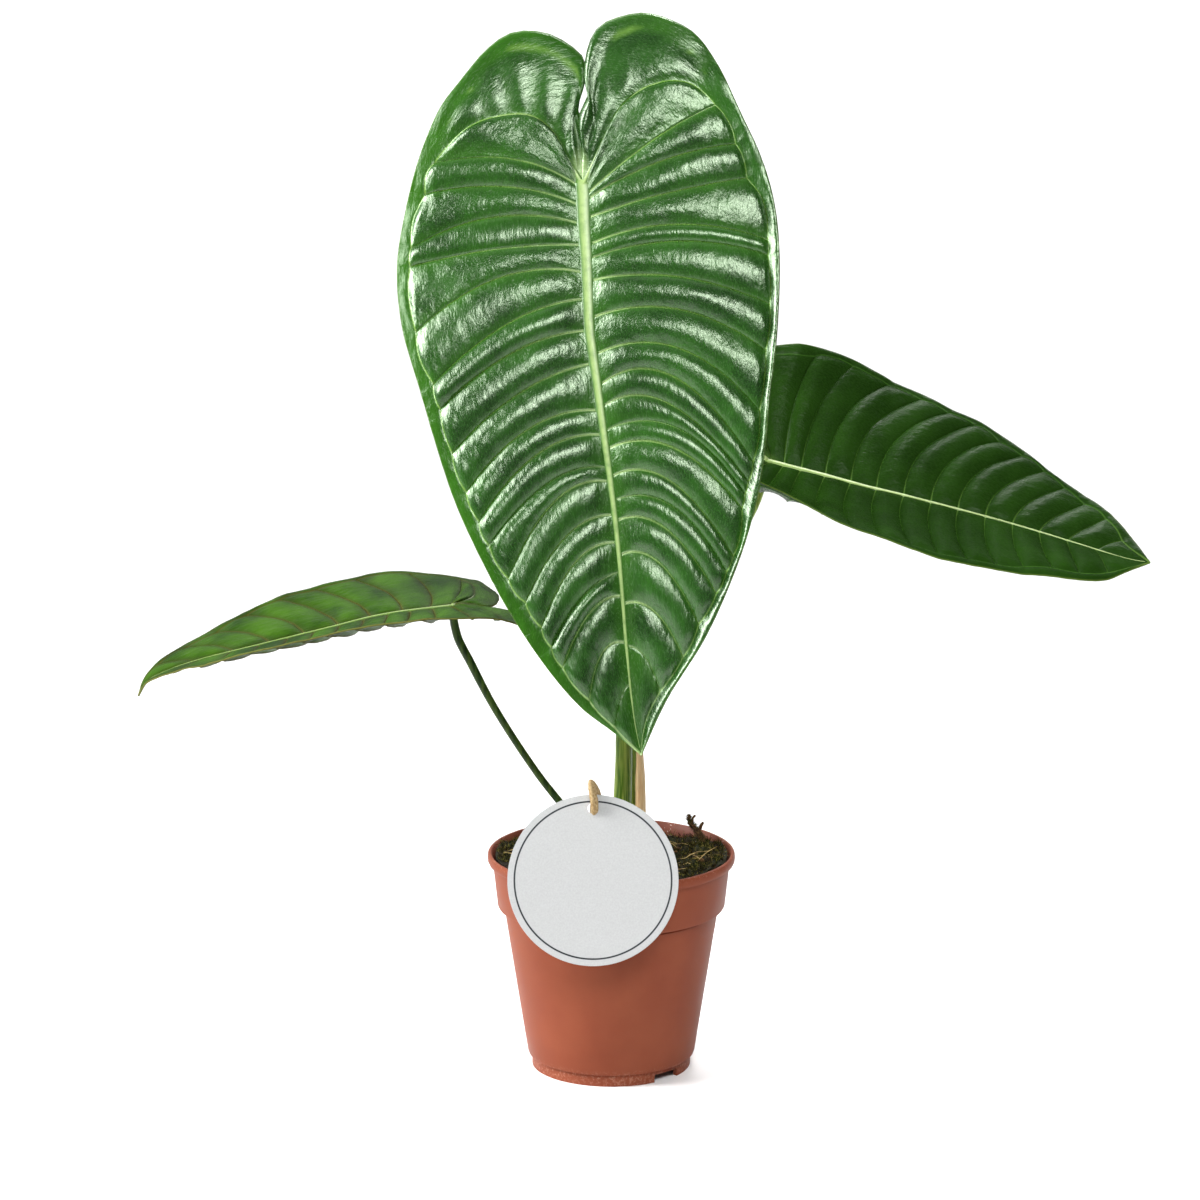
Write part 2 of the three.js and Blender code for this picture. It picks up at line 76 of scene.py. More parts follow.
def meshPiece(name, points, faces):  # points in millimetres
    data = bpy.data.meshes.new(name)
    data.from_pydata((np.asarray(points, float) * mm).tolist(), [], faces)
    piece = bpy.data.objects.new(name, data)
    scene.collection.objects.link(piece)
    data.polygons.foreach_set("use_smooth", [True] * len(data.polygons))
    return piece


def markPoints(piece, name, values):  # one number for each vertex, which a material reads
    layer = piece.data.attributes.new(name, "FLOAT", "POINT")
    layer.data.foreach_set("value", np.asarray(values, np.float32))


def dress(piece, slotName, *materials):
    piece.data.materials.clear()
    for material in materials:
        piece.data.materials.append(material)
    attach(piece, "root")


def smoothStep(low, high, value):
    t = np.clip((value - low) / (high - low), 0, 1)
    return t * t * (3 - 2 * t)


def between(values, share):
    return np.interp(np.clip(share, 0, 1) * (len(values) - 1), np.arange(len(values)), values)


def lineThrough(points, perSpan=24):  # a smooth line through all the points
    given = np.array(points, float)
    p = np.vstack([2 * given[0] - given[1], given, 2 * given[-1] - given[-2]])
    parts = []
    for i in range(1, len(p) - 2):
        a, b, c, d = p[i - 1:i + 3]
        before, here, after = [max(float(np.linalg.norm(gap)) ** 0.5, 1e-6)
                               for gap in (b - a, c - b, d - c)]
        leave = ((b - a) / before - (c - a) / (before + here) + (c - b) / here) * here
        arrive = ((c - b) / here - (d - b) / (here + after) + (d - c) / after) * here
        s = np.linspace(0, 1, perSpan, endpoint=False)[:, None]
        parts.append(b + leave * s + (3 * (c - b) - 2 * leave - arrive) * s ** 2
                     + (2 * (b - c) + leave + arrive) * s ** 3)
    return np.vstack(parts + [p[-2:-1]])


def lengthShares(line):
    steps = np.linalg.norm(np.diff(line, axis=0), axis=1)
    total = np.concatenate([[0], np.cumsum(steps)])
    return total / total[-1]


def placeOn(line, shares, at):
    return np.stack([np.interp(at, shares, line[:, k]) for k in range(line.shape[1])], -1)


def hexColour(text):  # sRGB hex to the linear colour that Blender wants
    parts = [int(text[i:i + 2], 16) / 255 for i in (1, 3, 5)]
    return tuple(c / 12.92 if c <= 0.04045 else ((c + 0.055) / 1.055) ** 2.4 for c in parts) + (1,)


def addNode(tree, kind, values=None, links=None, **settings):
    node = tree.nodes.new(kind)
    for name, value in settings.items():
        setattr(node, name, value)
    for name, value in (values or {}).items():
        node.inputs[name].default_value = value
    for name, source in (links or {}).items():
        tree.links.new(source, node.inputs[name])
    return node


def tint(tree, under, over, pattern, low, high, least=0, most=1):
    # lays one colour over another, from its least to its most as the pattern goes from low to high
    share = addNode(tree, "ShaderNodeMapRange", {1: low, 2: high, 3: least, 4: most}, {0: pattern})
    mix = addNode(tree, "ShaderNodeMix", {7: hexColour(over)}, {0: share.outputs[0]},
                  data_type="RGBA")
    if isinstance(under, str):
        mix.inputs[6].default_value = hexColour(under)
    else:
        tree.links.new(under, mix.inputs[6])
    return mix.outputs[2]


def newMaterial(name, values):
    material = bpy.data.materials.new(name)
    material.use_nodes = True
    tree = material.node_tree
    tree.nodes.clear()
    shader = addNode(tree, "ShaderNodeBsdfPrincipled", values)
    addNode(tree, "ShaderNodeOutputMaterial", links={"Surface": shader.outputs[0]})
    coords = addNode(tree, "ShaderNodeTexCoord")
    return material, tree, shader, coords


def grainyMaterial(name, look):  # one grain both colours the surface and, with relief, dents it
    material, tree, shader, coords = newMaterial(name, {
        "Specular IOR Level": look["specular"], "Roughness": look["roughness"]})
    grain = addNode(tree, "ShaderNodeTexNoise",
                    {"Scale": 1 / look["grain"], "Detail": look["detail"]},
                    {"Vector": coords.outputs["Object"]})
    colour = tint(tree, look["dark"], look["light"], grain.outputs[0], *look["turns"])
    tree.links.new(colour, shader.inputs["Base Color"])
    if "relief" in look:
        bump = addNode(tree, "ShaderNodeBump",
                       {"Strength": look["relief"], "Distance": look["depth"]},
                       {"Height": grain.outputs[0]})
        tree.links.new(bump.outputs[0], shader.inputs["Normal"])
    return material


# Camera, floor and studio light

studio = {
    "cameraPlace": (-0.0055, -2.1, 0.71),
    "cameraTurn": (77.17, 0, 0),
    "lens": 135,
    "floorSize": 40,
    "floorColour": "#f2f2f2",
    "world": 0.1,
}

bpy.ops.object.camera_add(location=studio["cameraPlace"],
                          rotation=[math.radians(a) for a in studio["cameraTurn"]])
camera = bpy.context.object
camera.data.lens = studio["lens"]
camera.data.sensor_width = 36
camera.data.clip_end = 60
scene.camera = camera
scene.view_settings.view_transform = "Standard"

deselectAll()
bpy.ops.mesh.primitive_plane_add(size=studio["floorSize"])
floor = bpy.context.object
floor.name = "studioFloor"
# a wide roll of matt paper: its soft tooth shows no lamp, only a faint shadow
material, tree, shader, coords = newMaterial("matt white studio paper", {
    "Base Color": hexColour(studio["floorColour"]), "Roughness": 0.9, "Specular IOR Level": 0.2})
floor.data.materials.append(material)

world = bpy.data.worlds.new("studioAir")
scene.world = world
world.use_nodes = True
background = world.node_tree.nodes["Background"]
background.inputs["Color"].default_value = hexColour("#f6f7f8")
background.inputs["Strength"].default_value = studio["world"]

softboxes = [
    # name, place, aim, width, height, watts, spread of the grid in front
    ("keyBox", (-2.01, -0.28, 1.33), (0.0, 0.0, 0.25), 1.4, 1.6, 26, 65),
    ("frontBox", (0.27, -1.75, 1.65), (0.0, 0.0, 0.3), 0.85, 0.7, 6, 65),
    ("topBox", (0.0, 0.9, 3.0), (0.0, 0.2, 0.0), 2.4, 2.4, 14, 180),
    ("satinBox", (0.45, 1.5, 2.9), (0.17, 0.0, 0.3), 0.6, 0.6, 3.2, 50),
    ("backBox", (0.0, 5.2, 3.0), (0.0, 5.2, 0.0), 11.0, 6.0, 505, 180),
]
for name, place, aim, width, height, watts, spread in softboxes:
    bpy.ops.object.light_add(type="AREA", location=place)
    lamp = bpy.context.object
    lamp.name = name
    lamp.data.shape = "RECTANGLE"
    lamp.data.size = width
    lamp.data.size_y = height
    lamp.data.energy = watts
    lamp.data.spread = math.radians(spread)
    lamp.rotation_euler = (Vector(aim) - Vector(place)).to_track_quat("-Z", "Y").to_euler()
print("camera, floor and lights are in place")

# Leaf shapes: the blade's own millimetres, u along the midrib from the sinus and v across it

leafFlat = {
    "length": 268,
    "halfWidth": 91,
    "lobeShare": 0.28,  # how far the lobes reach back, as a share of the length
    "outline": (
        [(0, 0), (-9.5, 1), (-17, 1.6), (-30.5, 1.8), (-37, 1.2), (-42, 2.6), (-50, 6), (-60, 6.6),
         (-67.5, 1), (-74, -8), (-77, -18), (-76.5, -29), (-69, -41), (-57, -53), (-46, -63),
         (-29, -73), (-7, -82), (25, -91), (55, -92), (90, -86), (140, -76), (170, -66), (192, -57),
         (219, -43), (242, -27), (257, -11), (268, 0)],
        [(0, 0), (-9.5, 0.4), (-16.5, 0.8), (-30.5, 1.2), (-36.5, 3.6), (-40, 6.6), (-44, 6.6),
         (-50, 6), (-63, 8.6), (-74, 15), (-78, 27), (-78, 38), (-73, 50), (-66, 60), (-55, 67.5),
         (-24, 79), (-4, 86), (18, 90), (44, 90), (86, 84), (109, 78.5), (132, 74), (155, 67.5),
         (182, 56), (215, 37), (243, 15), (268, 0)],
    ),
    "collective": (
        [(0, 0), (-12.5, -5.6), (-27, -12), (-35.5, -21.5), (-37, -35.5), (-33.5, -51),
         (-23.5, -64.5), (-14, -72), (-5, -74.5), (8, -81), (22, -84), (37.5, -86), (57, -85.5),
         (73.5, -84), (87, -79.5), (98.5, -77.5), (114.5, -75), (130, -72), (151, -65.5),
         (163, -62), (180.5, -54), (199.5, -43), (223.5, -33), (240, -22), (255, -10.5), (268, 0)],
        [(0, 0), (-11, 7), (-23, 14), (-33.5, 21.5), (-41, 32.5), (-43.5, 45.5), (-41, 56.5),
         (-33, 65), (-22, 71), (-10, 75), (4.5, 78), (17, 84), (33, 85.5), (50.5, 84), (67, 83),
         (88, 79), (113.5, 73.5), (131, 70), (145.5, 65), (159, 60), (175, 56), (184, 51.5),
         (198.5, 42.5), (210.5, 33.5), (223.5, 25.5), (239, 12.5), (251.5, 3.5), (268, 0)],
    ),
    "midrib": [(-12, 0), (0, 0), (16.5, -1), (31, -1.5), (50, -2.5), (69, -3.5), (83, -3),
               (95, -2.5), (111.5, -2), (139.5, -1), (167.5, -0.5), (195.5, -1), (214, -1.5),
               (251.5, -1.5), (268, 0)],
}

# Each vein: where it leaves the midrib, its bend, its end on the collective vein, its strength
largeVeins = (
    [(2, -22, -25, -18.5, -68, 1), (10.5, -9, -32.7, -4.5, -74.5, 1),
     (19, 1.5, -42, 20, -83.5, 0.9), (28.5, 24.2, -41, 29, -84.5, 0.9), (42, 29, -43.5, 61, -85, 1),
     (54, 53.5, -40, 87, -79.5, 1), (69, 68, -39.5, 99, -77, 1), (84.5, 87.7, -38, 120, -73.5, 1),
     (107, 101, -35, 139, -69, 1), (118.5, 112.5, -32.5, 152.5, -63, 1),
     (134, 126.5, -27, 163, -58, 0.5), (140.5, 132.5, -27, 180.5, -54, 1),
     (156, 152, -23.5, 192, -47, 0.8), (169, 164, -20.5, 205, -42, 1),
     (182.5, 185, -19, 214, -38, 0.5), (194, 189.5, -15.5, 223.5, -33, 1),
     (215.5, 210, -15, 240, -22, 0.9), (235, 236, -7, 253, -11, 0.4)],
    [(6, -20, 34.8, -30, 66.5, 1), (8, -10.5, 34.8, -11, 74.5, 1), (16, 8.2, 38.8, 5.5, 78.5, 1),
     (29, 16.5, 41.5, 36, 85, 1), (35.5, 25.8, 42.8, 43, 84.5, 0.7), (46, 42, 39, 66, 82.5, 1),
     (63.5, 53.2, 40.5, 88, 79, 1), (81, 66.5, 39.8, 116, 72.5, 1), (96, 72.3, 33.5, 139, 67.5, 1),
     (106, 87.5, 28, 148, 64, 0.8), (117, 103, 35, 153, 62, 0.5), (125.5, 113.5, 31, 159.5, 60, 1),
     (138.5, 125.5, 27, 180.5, 52, 1), (149.5, 140, 28.5, 188, 49, 0.5),
     (159, 150, 22.5, 197, 43, 1), (175, 167, 19, 211, 34, 1), (197.5, 192.8, 14.5, 225, 25, 1),
     (217, 217, 8, 240, 12.5, 0.5)],
)
leftVeins = (
    [(3, -20, -26, -14, -70, 0.8), (18, 10, -42, 34, -84, 0.9), (40, 42, -42, 76, -82, 1),
     (66, 72, -40, 110, -75, 1), (93, 100, -37, 140, -68, 1), (121, 130, -33, 168, -58, 0.9),
     (150, 160, -27, 195, -46, 0.8), (180, 190, -20, 220, -34, 0.7),
     (212, 222, -12, 243, -20, 0.5)],
    [(3, -18, 30, -20, 71, 0.8), (16, 8, 42, 20, 84, 0.8), (34, 32, 42, 48, 84, 0.9),
     (52, 52, 42, 72, 82, 0.9), (72, 73, 40, 95, 77.5, 0.9), (92, 94, 37, 116, 73, 0.9),
     (113, 116, 34, 138, 67.5, 0.9), (135, 139, 30, 160, 60, 0.8), (158, 163, 25, 182, 52, 0.8),
     (182, 188, 18, 204, 39, 0.7), (208, 215, 10, 228, 22, 0.5)],
)
rightVeins = (
    [(3, -20, -26, -14, -70, 0.8), (12, 2, -40, 8, -81, 0.8), (24, 19, -46, 30, -85, 0.8),
     (41, 38, -47, 52, -85.5, 0.8), (59, 57, -45, 72, -83.5, 0.8), (77, 76, -42, 92, -79, 0.8),
     (96, 95, -40, 112, -75, 0.8), (115, 115, -36, 131, -71.5, 0.8), (134, 134, -33, 150, -66, 0.8),
     (153, 154, -29, 169, -59, 0.8), (172, 174, -25, 188, -50, 0.7), (191, 194, -20, 206, -40, 0.7),
     (210, 214, -14, 224, -32.5, 0.6), (230, 235, -8, 242, -20, 0.5)],
    [(3, -18, 30, -20, 71, 0.9), (12, 2, 44, 12, 81, 1), (24, 17, 50, 38, 85, 1),
     (41, 33, 52, 64, 83, 1), (59, 50, 50, 88, 79, 1), (77, 68, 46, 108, 74.5, 1),
     (96, 88, 42, 128, 70.5, 1), (115, 108, 37, 147, 64.5, 1), (134, 128, 32, 165, 58.5, 1),
     (153, 149, 26, 182, 52, 1), (172, 171, 20, 199, 42, 0.9), (191, 192, 14, 215, 31, 0.8),
     (211, 214, 9, 231, 19, 0.7), (232, 236, 4, 246, 7, 0.5)],
)


def lineFrom(points):
    line = lineThrough(points)
    return line, lengthShares(line)


def midribAt(u):
    return np.interp(u, midribLine[:, 0], midribLine[:, 1])


midribLine = lineThrough(leafFlat["midrib"])


def leafWays(leaf):  # towards the tip, out of the upper face, and to the right
    tip = np.array(leaf["tipWay"], float)
    tip /= np.linalg.norm(tip)
    right = np.cross(np.array(leaf["faceWay"], float), tip)
    right /= np.linalg.norm(right)
    return tip, np.cross(tip, right), right


def leafPlace(leaf, half, u, v, height):
    tip, face, right = leafWays(leaf)
    spine, spineShares = leaf["spineLine"]
    length = leaf["length"]
    share = u / leafFlat["length"] * np.where(u < 0, leaf["lobeSize"][half], 1)
    along = share * length
    fullness = 1 + leaf["tipFullness"][half] * smoothStep(0.6, 1, share) ** 3
    out = v / leafFlat["halfWidth"] * leaf["halfWidth"] * fullness
    reach = np.abs(v - midribAt(u)) / leafFlat["halfWidth"] * leaf["halfWidth"] * fullness
    lobe = leafFlat["lobeShare"] * length
    ahead = placeOn(spine, spineShares, np.clip(share + 0.004, 0, 1))
    behind = placeOn(spine, spineShares, np.clip(share - 0.004, 0, 1))
    point = placeOn(spine, spineShares, np.clip(share, 0, 1))
    onBlade = share >= 0
    baseAlong = np.where(onBlade, point[..., 0] * length, along)
    baseUp = np.where(onBlade, point[..., 1] * length, leaf["lobeLift"] * (along / lobe) ** 2)
    slope = np.where(onBlade, (ahead - behind)[..., 1] / (ahead - behind)[..., 0],
                     2 * leaf["lobeLift"] * along / lobe ** 2)
    tilt = np.arctan(slope)
    fold = np.radians(between(leaf["fold"][half], share))
    curl = between(leaf["curl"][half], share) * (reach / leaf["halfWidth"]) ** 2
    up = reach * np.sin(fold) - curl + height
    return (np.array(leaf["sinus"], float)
            + (baseAlong - up * np.sin(tilt))[..., None] * tip
            + (baseUp + up * np.cos(tilt))[..., None] * face
            + (out * np.cos(fold))[..., None] * right)


bladeShape = {  # the same on all three leaves
    "swell": (0.72, 1.16),  # how high the pillows stand, as shares of the relief
    "narrow": (1.5, 9),  # millimetres: pillows rise in full once they are this wide
    "rowsPerPillow": (8, 20),
    "flatTop": 2.1,  # a higher number makes a pillow's top flatter and its sides steeper
    "lobeFold": (0.82, 0.18, 2.5),  # the lobe's soft folds: middle, depth and number
    "lobeInside": (0.3, 0.5),  # where the lobe's inner edge turns into its outside
    "marginVein": 0.3,  # how high the rolled margin is, as a share of the relief
    "domeRise": (4, 3),  # millimetres, at the edge vein and at the margin
    "veinMark": 0.85,  # how strong the collective vein's mark is
    "heart": (7, 11, 4.5, 0.7),  # the pale spot where veins meet: place, length, width, strength
    "grooveWidth": 0.5,
    "flatNearRib": (6, 8),  # millimetres: no waves this close to the midrib and to the sinus
}


def crowd(steps, amount):  # shares from 0 to 1, closer together at both ends
    t = np.linspace(0, 1, steps + 1)
    return t - amount * np.sin(2 * np.pi * t) / (2 * np.pi)


def halfBlade(leaf, half, veins, seed):
    side = -1 if half == 0 else 1
    scale = leaf["halfWidth"] / leafFlat["halfWidth"]
    rng = random.Random(seed)
    edge, edgeShares = lineFrom(leafFlat["outline"][half])
    ring, ringShares = lineFrom(leafFlat["collective"][half])

    # where each vein ends on the collective vein, as a share of its length
    roots = [0.0] + [vein[0] for vein in veins] + [leafFlat["length"]]
    ends = [0.0]
    for vein in veins:
        nearest = np.argmin(np.linalg.norm(ring - np.array(vein[3:5]), axis=1))
        ends.append(float(ringShares[nearest]))
    ends.append(1.0)
    bends = [np.zeros(2)]
    for vein, end in zip(veins, ends[1:]):
        start = np.array([vein[0], midribAt(vein[0])])
        bends.append(np.array(vein[1:3]) - (start + placeOn(ring, ringShares, end)) / 2)
    bends.append(np.zeros(2))
    strengths = [0.9] + [vein[5] for vein in veins] + [0.3]
    widths = [np.linalg.norm(placeOn(ring, ringShares, a) - placeOn(ring, ringShares, b))
              for a, b in zip(ends, ends[1:])]

    # which place on the edge each place on the collective vein goes out to
    ringAt = np.linspace(0, 1, 400)
    ringPoints = placeOn(ring, ringShares, ringAt)
    nearest = np.array([edgeShares[np.argmin(np.linalg.norm(edge - place, axis=1))]
                        for place in ringPoints])
    firstEnd = ends[1]
    atFirst = float(np.interp(firstEnd, ringAt, nearest))
    toEdge = np.where(ringAt < firstEnd, atFirst * (ringAt / firstEnd) ** 0.8, nearest)
    toEdge = np.maximum.accumulate(toEdge)
    toEdge[-1] = 1

    ringLength = np.linalg.norm(np.diff(ring, axis=0), axis=1).sum()
    arc = [end * ringLength for end in ends]
    inner = crowd(leaf["columns"], 0.8)
    outer = crowd(leaf["bandColumns"], 0.7)
    rows = []
    for i, wide in enumerate(widths):
        steps = leaf["lobeSteps"]
        if i > 0:
            steps = round(wide * scale / leaf["lineGap"])
            steps = int(np.clip(steps, *bladeShape["rowsPerPillow"]))
        swell = rng.uniform(*bladeShape["swell"]) * smoothStep(*bladeShape["narrow"], wide)
        for f in crowd(steps, 0.7)[:-1] if i < len(widths) - 1 else crowd(steps, 0.7):
            rows.append((i, float(f), float(swell)))

    count = len(inner) + len(outer) - 1
    flat = np.zeros((len(rows), count, 2))
    height = np.zeros((len(rows), count))
    vein = np.zeros((len(rows), count))
    toEdgeDistance = np.zeros((len(rows), count))
    sheen = np.full((len(rows), count), float(leaf["sheen"][half]))
    skin = np.zeros((len(rows), count, 2))  # millimetres from the midrib, and across the pillows
    for row, (i, f, swell) in enumerate(rows):
        root = roots[i] + (roots[i + 1] - roots[i]) * f
        endShare = ends[i] + (ends[i + 1] - ends[i]) * f
        start = np.array([root, midribAt(root)])
        end = placeOn(ring, ringShares, endShare)
        rim = placeOn(edge, edgeShares, np.interp(endShare, ringAt, toEdge))
        if i > 0:  # the pillow's end pushes the collective vein outwards
            push = leaf["scallop"] * 4 * f * (1 - f) * smoothStep(4, 12, widths[i])
            end = end + (rim - end) * push
        bend = bends[i] + (bends[i + 1] - bends[i]) * (f ** 3 if i == 0 else f)
        middle = (start + end) / 2 + bend
        q = inner[:, None]
        line = (1 - q) ** 2 * start + 2 * q * (1 - q) * middle + q ** 2 * end
        band = end + (rim - end) * outer[:, None]
        flat[row] = np.vstack([line, band[1:]])
        rowLength = np.linalg.norm(np.diff(flat[row], axis=0), axis=1).sum()
        along = lengthShares(flat[row]) * rowLength * scale
        ahead = (arc[i] + (arc[i + 1] - arc[i]) * f) * scale
        skin[row] = np.stack([along, np.full(count, ahead)], -1)
        size = np.linalg.norm(line[-1] - line[0]) * scale
        fromRib = inner * size
        fromRing = (1 - inner) * size
        # the pillow across two veins, steep beside them
        if i == 0:
            across = 1 - max(0.0, 2 * f - 1) ** 3
            middleHeight, foldDepth, folds = bladeShape["lobeFold"]
            across *= middleHeight + foldDepth * math.cos(2 * math.pi * folds * f)
        else:
            across = 1 - abs(2 * f - 1) ** bladeShape["flatTop"]
        rise = 1 - np.exp(-(fromRib / leaf["ribFade"]) ** 1.6)
        drop = 1 - np.exp(-(fromRing / leaf["ringFade"]) ** 1.5)
        height[row, :len(inner)] = leaf["relief"] * swell * across * rise * (
            drop + (1 - drop) * leaf["edgeSwell"])
        gap = np.linalg.norm(rim - end) * scale
        b = outer[1:]
        inside = (1 - float(smoothStep(*bladeShape["lobeInside"], f))) if i == 0 else 0
        margin = leaf["margin"] + (leaf["strip"][half][0] - leaf["margin"]) * inside
        roller = bladeShape["marginVein"]
        roller += (leaf["strip"][half][1] - roller) * inside
        lobeBand = smoothStep(1.3 * margin, 2.2 * margin, gap)
        toRim = (1 - b) * gap
        plain = leaf["relief"] * leaf["edgeSwell"] * across * swell * (1 - smoothStep(0.2, 1, b))
        plain = plain + leaf["relief"] * leaf["marginSwell"][half] * np.sin(np.pi * b) ** 0.8
        plain = plain + leaf["lipRise"][half] * smoothStep(0, 1, b) * (1 - inside)
        ringRise, marginRise = bladeShape["domeRise"]
        domed = 1 - np.exp(-(b * gap / ringRise) ** 1.6)
        domed = domed * (1 - np.exp(-(np.maximum(toRim - margin, 0) / marginRise) ** 1.6))
        ripple = 1.0
        for crease, width, depth in leaf["creases"][half]:
            ripple = ripple * (1 - depth * math.exp(-((f - crease) / width) ** 2) * (
                1 - smoothStep(0.35, 0.85, b)))
        roll = np.where(toRim < margin, np.sin(np.pi * np.clip(toRim / margin, 0, 1)), 0)
        high = 0.6 + (0.3 * (1 - float(smoothStep(0.7, 1, f))) if i == 0 else 0)
        big = leaf["relief"] * (high * domed * (ripple if i == 0 else 1) + roller * roll)
        big = big + inside * leaf["flap"][half] * (
            1 - smoothStep(margin - 1.2, margin + 1.2, toRim))
        height[row, len(inner):] = plain * (1 - lobeBand) + big * lobeBand
        # veins as marks from 0 to 1: thicker at the midrib, thin at the edge
        low = np.linalg.norm(flat[row] - flat[row, 0], axis=1) * scale
        thick = leaf["veinHalf"] * (1.25 - 0.75 * np.clip(low / (leaf["halfWidth"]), 0, 1))
        toRing = np.concatenate([fromRing, b * gap])
        ringHalf = leaf["veinHalf"] * (0.75 + 1.3 * math.exp(-endShare / 0.06))
        vein[row] = bladeShape["veinMark"] * np.exp(-(toRing / ringHalf) ** 2)
        vein[row, len(inner):] = np.maximum(
            vein[row, len(inner):],
            0.5 * lobeBand * np.exp(-((toRim - margin) / leaf["veinHalf"]) ** 2))
        toEdgeDistance[row, :len(inner)] = 50
        toEdgeDistance[row, len(inner):] = toRim
        sheen[row, len(inner):] *= 1 - (1 - leaf["rimSheen"][half]) * smoothStep(0, 0.3, b) * (
            1 - smoothStep(5, 14, toRim))
        rows[row] = (i, f, swell, thick)
    # nearness to the veins needs the lines of both neighbours
    starts = [k for k, item in enumerate(rows) if item[1] == 0]
    lastRow = len(rows) - 1
    for k, first in enumerate(starts):
        last = starts[k + 1] if k + 1 < len(starts) else lastRow
        for row in range(first, last + 1):
            thick = rows[row][3]
            for border, strength in ((first, strengths[k]), (last, strengths[k + 1])):
                if k == 0 and border == first:
                    continue
                away = np.linalg.norm(flat[row, :len(inner)] - flat[border, :len(inner)], axis=1)
                away *= scale
                mark = strength * np.exp(-(away / thick[:len(inner)]) ** 2)
                vein[row, :len(inner)] = np.maximum(vein[row, :len(inner)], mark)
                groove = leaf["groove"] * strength
                groove = groove * np.exp(-(away / bladeShape["grooveWidth"]) ** 2)
                height[row, :len(inner)] -= groove * (1 - np.exp(-(inner * 80) ** 2))
    # soft unevenness, the same on both sides of a seam
    points = flat.reshape(-1, 2)
    back, long, wide, strong = bladeShape["heart"]
    heart = strong * np.exp(-((points[:, 0] + back) * scale / long) ** 2
                            - (points[:, 1] * scale / wide) ** 2)
    vein = np.maximum(vein.reshape(-1), heart)
    wave = np.array([noise.noise((u * 0.035, v * 0.035, seed)) for u, v in points])
    crinkle = np.array([noise.noise((a * 0.2, b * 0.11, 3.1 + seed)) + 0.5 * noise.noise(
        (a * 0.45, b * 0.2, 7.7 + seed)) for a, b in skin.reshape(-1, 2)])
    ribFlat, sinusFlat = bladeShape["flatNearRib"]
    nearRib = 1 - np.exp(-(np.abs(points[:, 1] - midribAt(points[:, 0])) / ribFlat) ** 2)
    nearSinus = 1 - np.exp(-(np.linalg.norm(points, axis=1) / sinusFlat) ** 2)
    nearRib = np.where(points[:, 0] < 0, nearSinus, nearRib)
    total = height.reshape(-1) + (leaf["wave"] * wave + leaf["crinkle"] * crinkle) * nearRib
    places = leafPlace(leaf, half, points[:, 0], points[:, 1], total)

    faces = []
    for row in range(len(rows) - 1):
        for column in range(count - 1):
            a = row * count + column
            faces.append((a, a + 1, a + count + 1, a + count) if side < 0 else
                         (a, a + count, a + count + 1, a + 1))
    piece = meshPiece(leaf["name"] + ("Left" if half == 0 else "Right"), places, faces)
    markPoints(piece, "vein", vein)
    markPoints(piece, "margin", np.exp(-(toEdgeDistance.reshape(-1) / leaf["edgeLine"]) ** 2))
    fromMid = np.where(points[:, 0] > 0, np.abs(points[:, 1] - midribAt(points[:, 0])),
                       np.linalg.norm(points, axis=1)) * scale
    markPoints(piece, "rib", np.exp(-(fromMid / leaf["paleReach"]) ** 1.5))
    markPoints(piece, "swell", height.reshape(-1) / leaf["relief"])
    markPoints(piece, "sheen", sheen.reshape(-1))
    skinMap = piece.data.uv_layers.new(name="skinMap")
    corners = np.zeros(len(piece.data.loops), np.int64)
    piece.data.loops.foreach_get("vertex_index", corners)
    inMetres = (skin.reshape(-1, 2)[corners] * mm).reshape(-1)
    skinMap.data.foreach_set("uv", inMetres.astype(np.float32))
    choose(piece)
    bpy.ops.object.mode_set(mode="EDIT")
    bpy.ops.mesh.select_all(action="SELECT")
    bpy.ops.mesh.remove_doubles(threshold=0.00003)
    bpy.ops.mesh.normals_make_consistent(inside=False)
    bpy.ops.object.mode_set(mode="OBJECT")
    if facesFront(piece, leaf) < 0:
        piece.data.flip_normals()
    finishWith(piece, "SOLIDIFY", thickness=leaf["thickness"] * mm, offset=0, material_offset=1,
               material_offset_rim=2, use_quality_normals=True)
    return piece


def facesFront(piece, leaf):
    face = Vector(leafWays(leaf)[1])
    return sum(polygon.normal.dot(face) * polygon.area for polygon in piece.data.polygons)


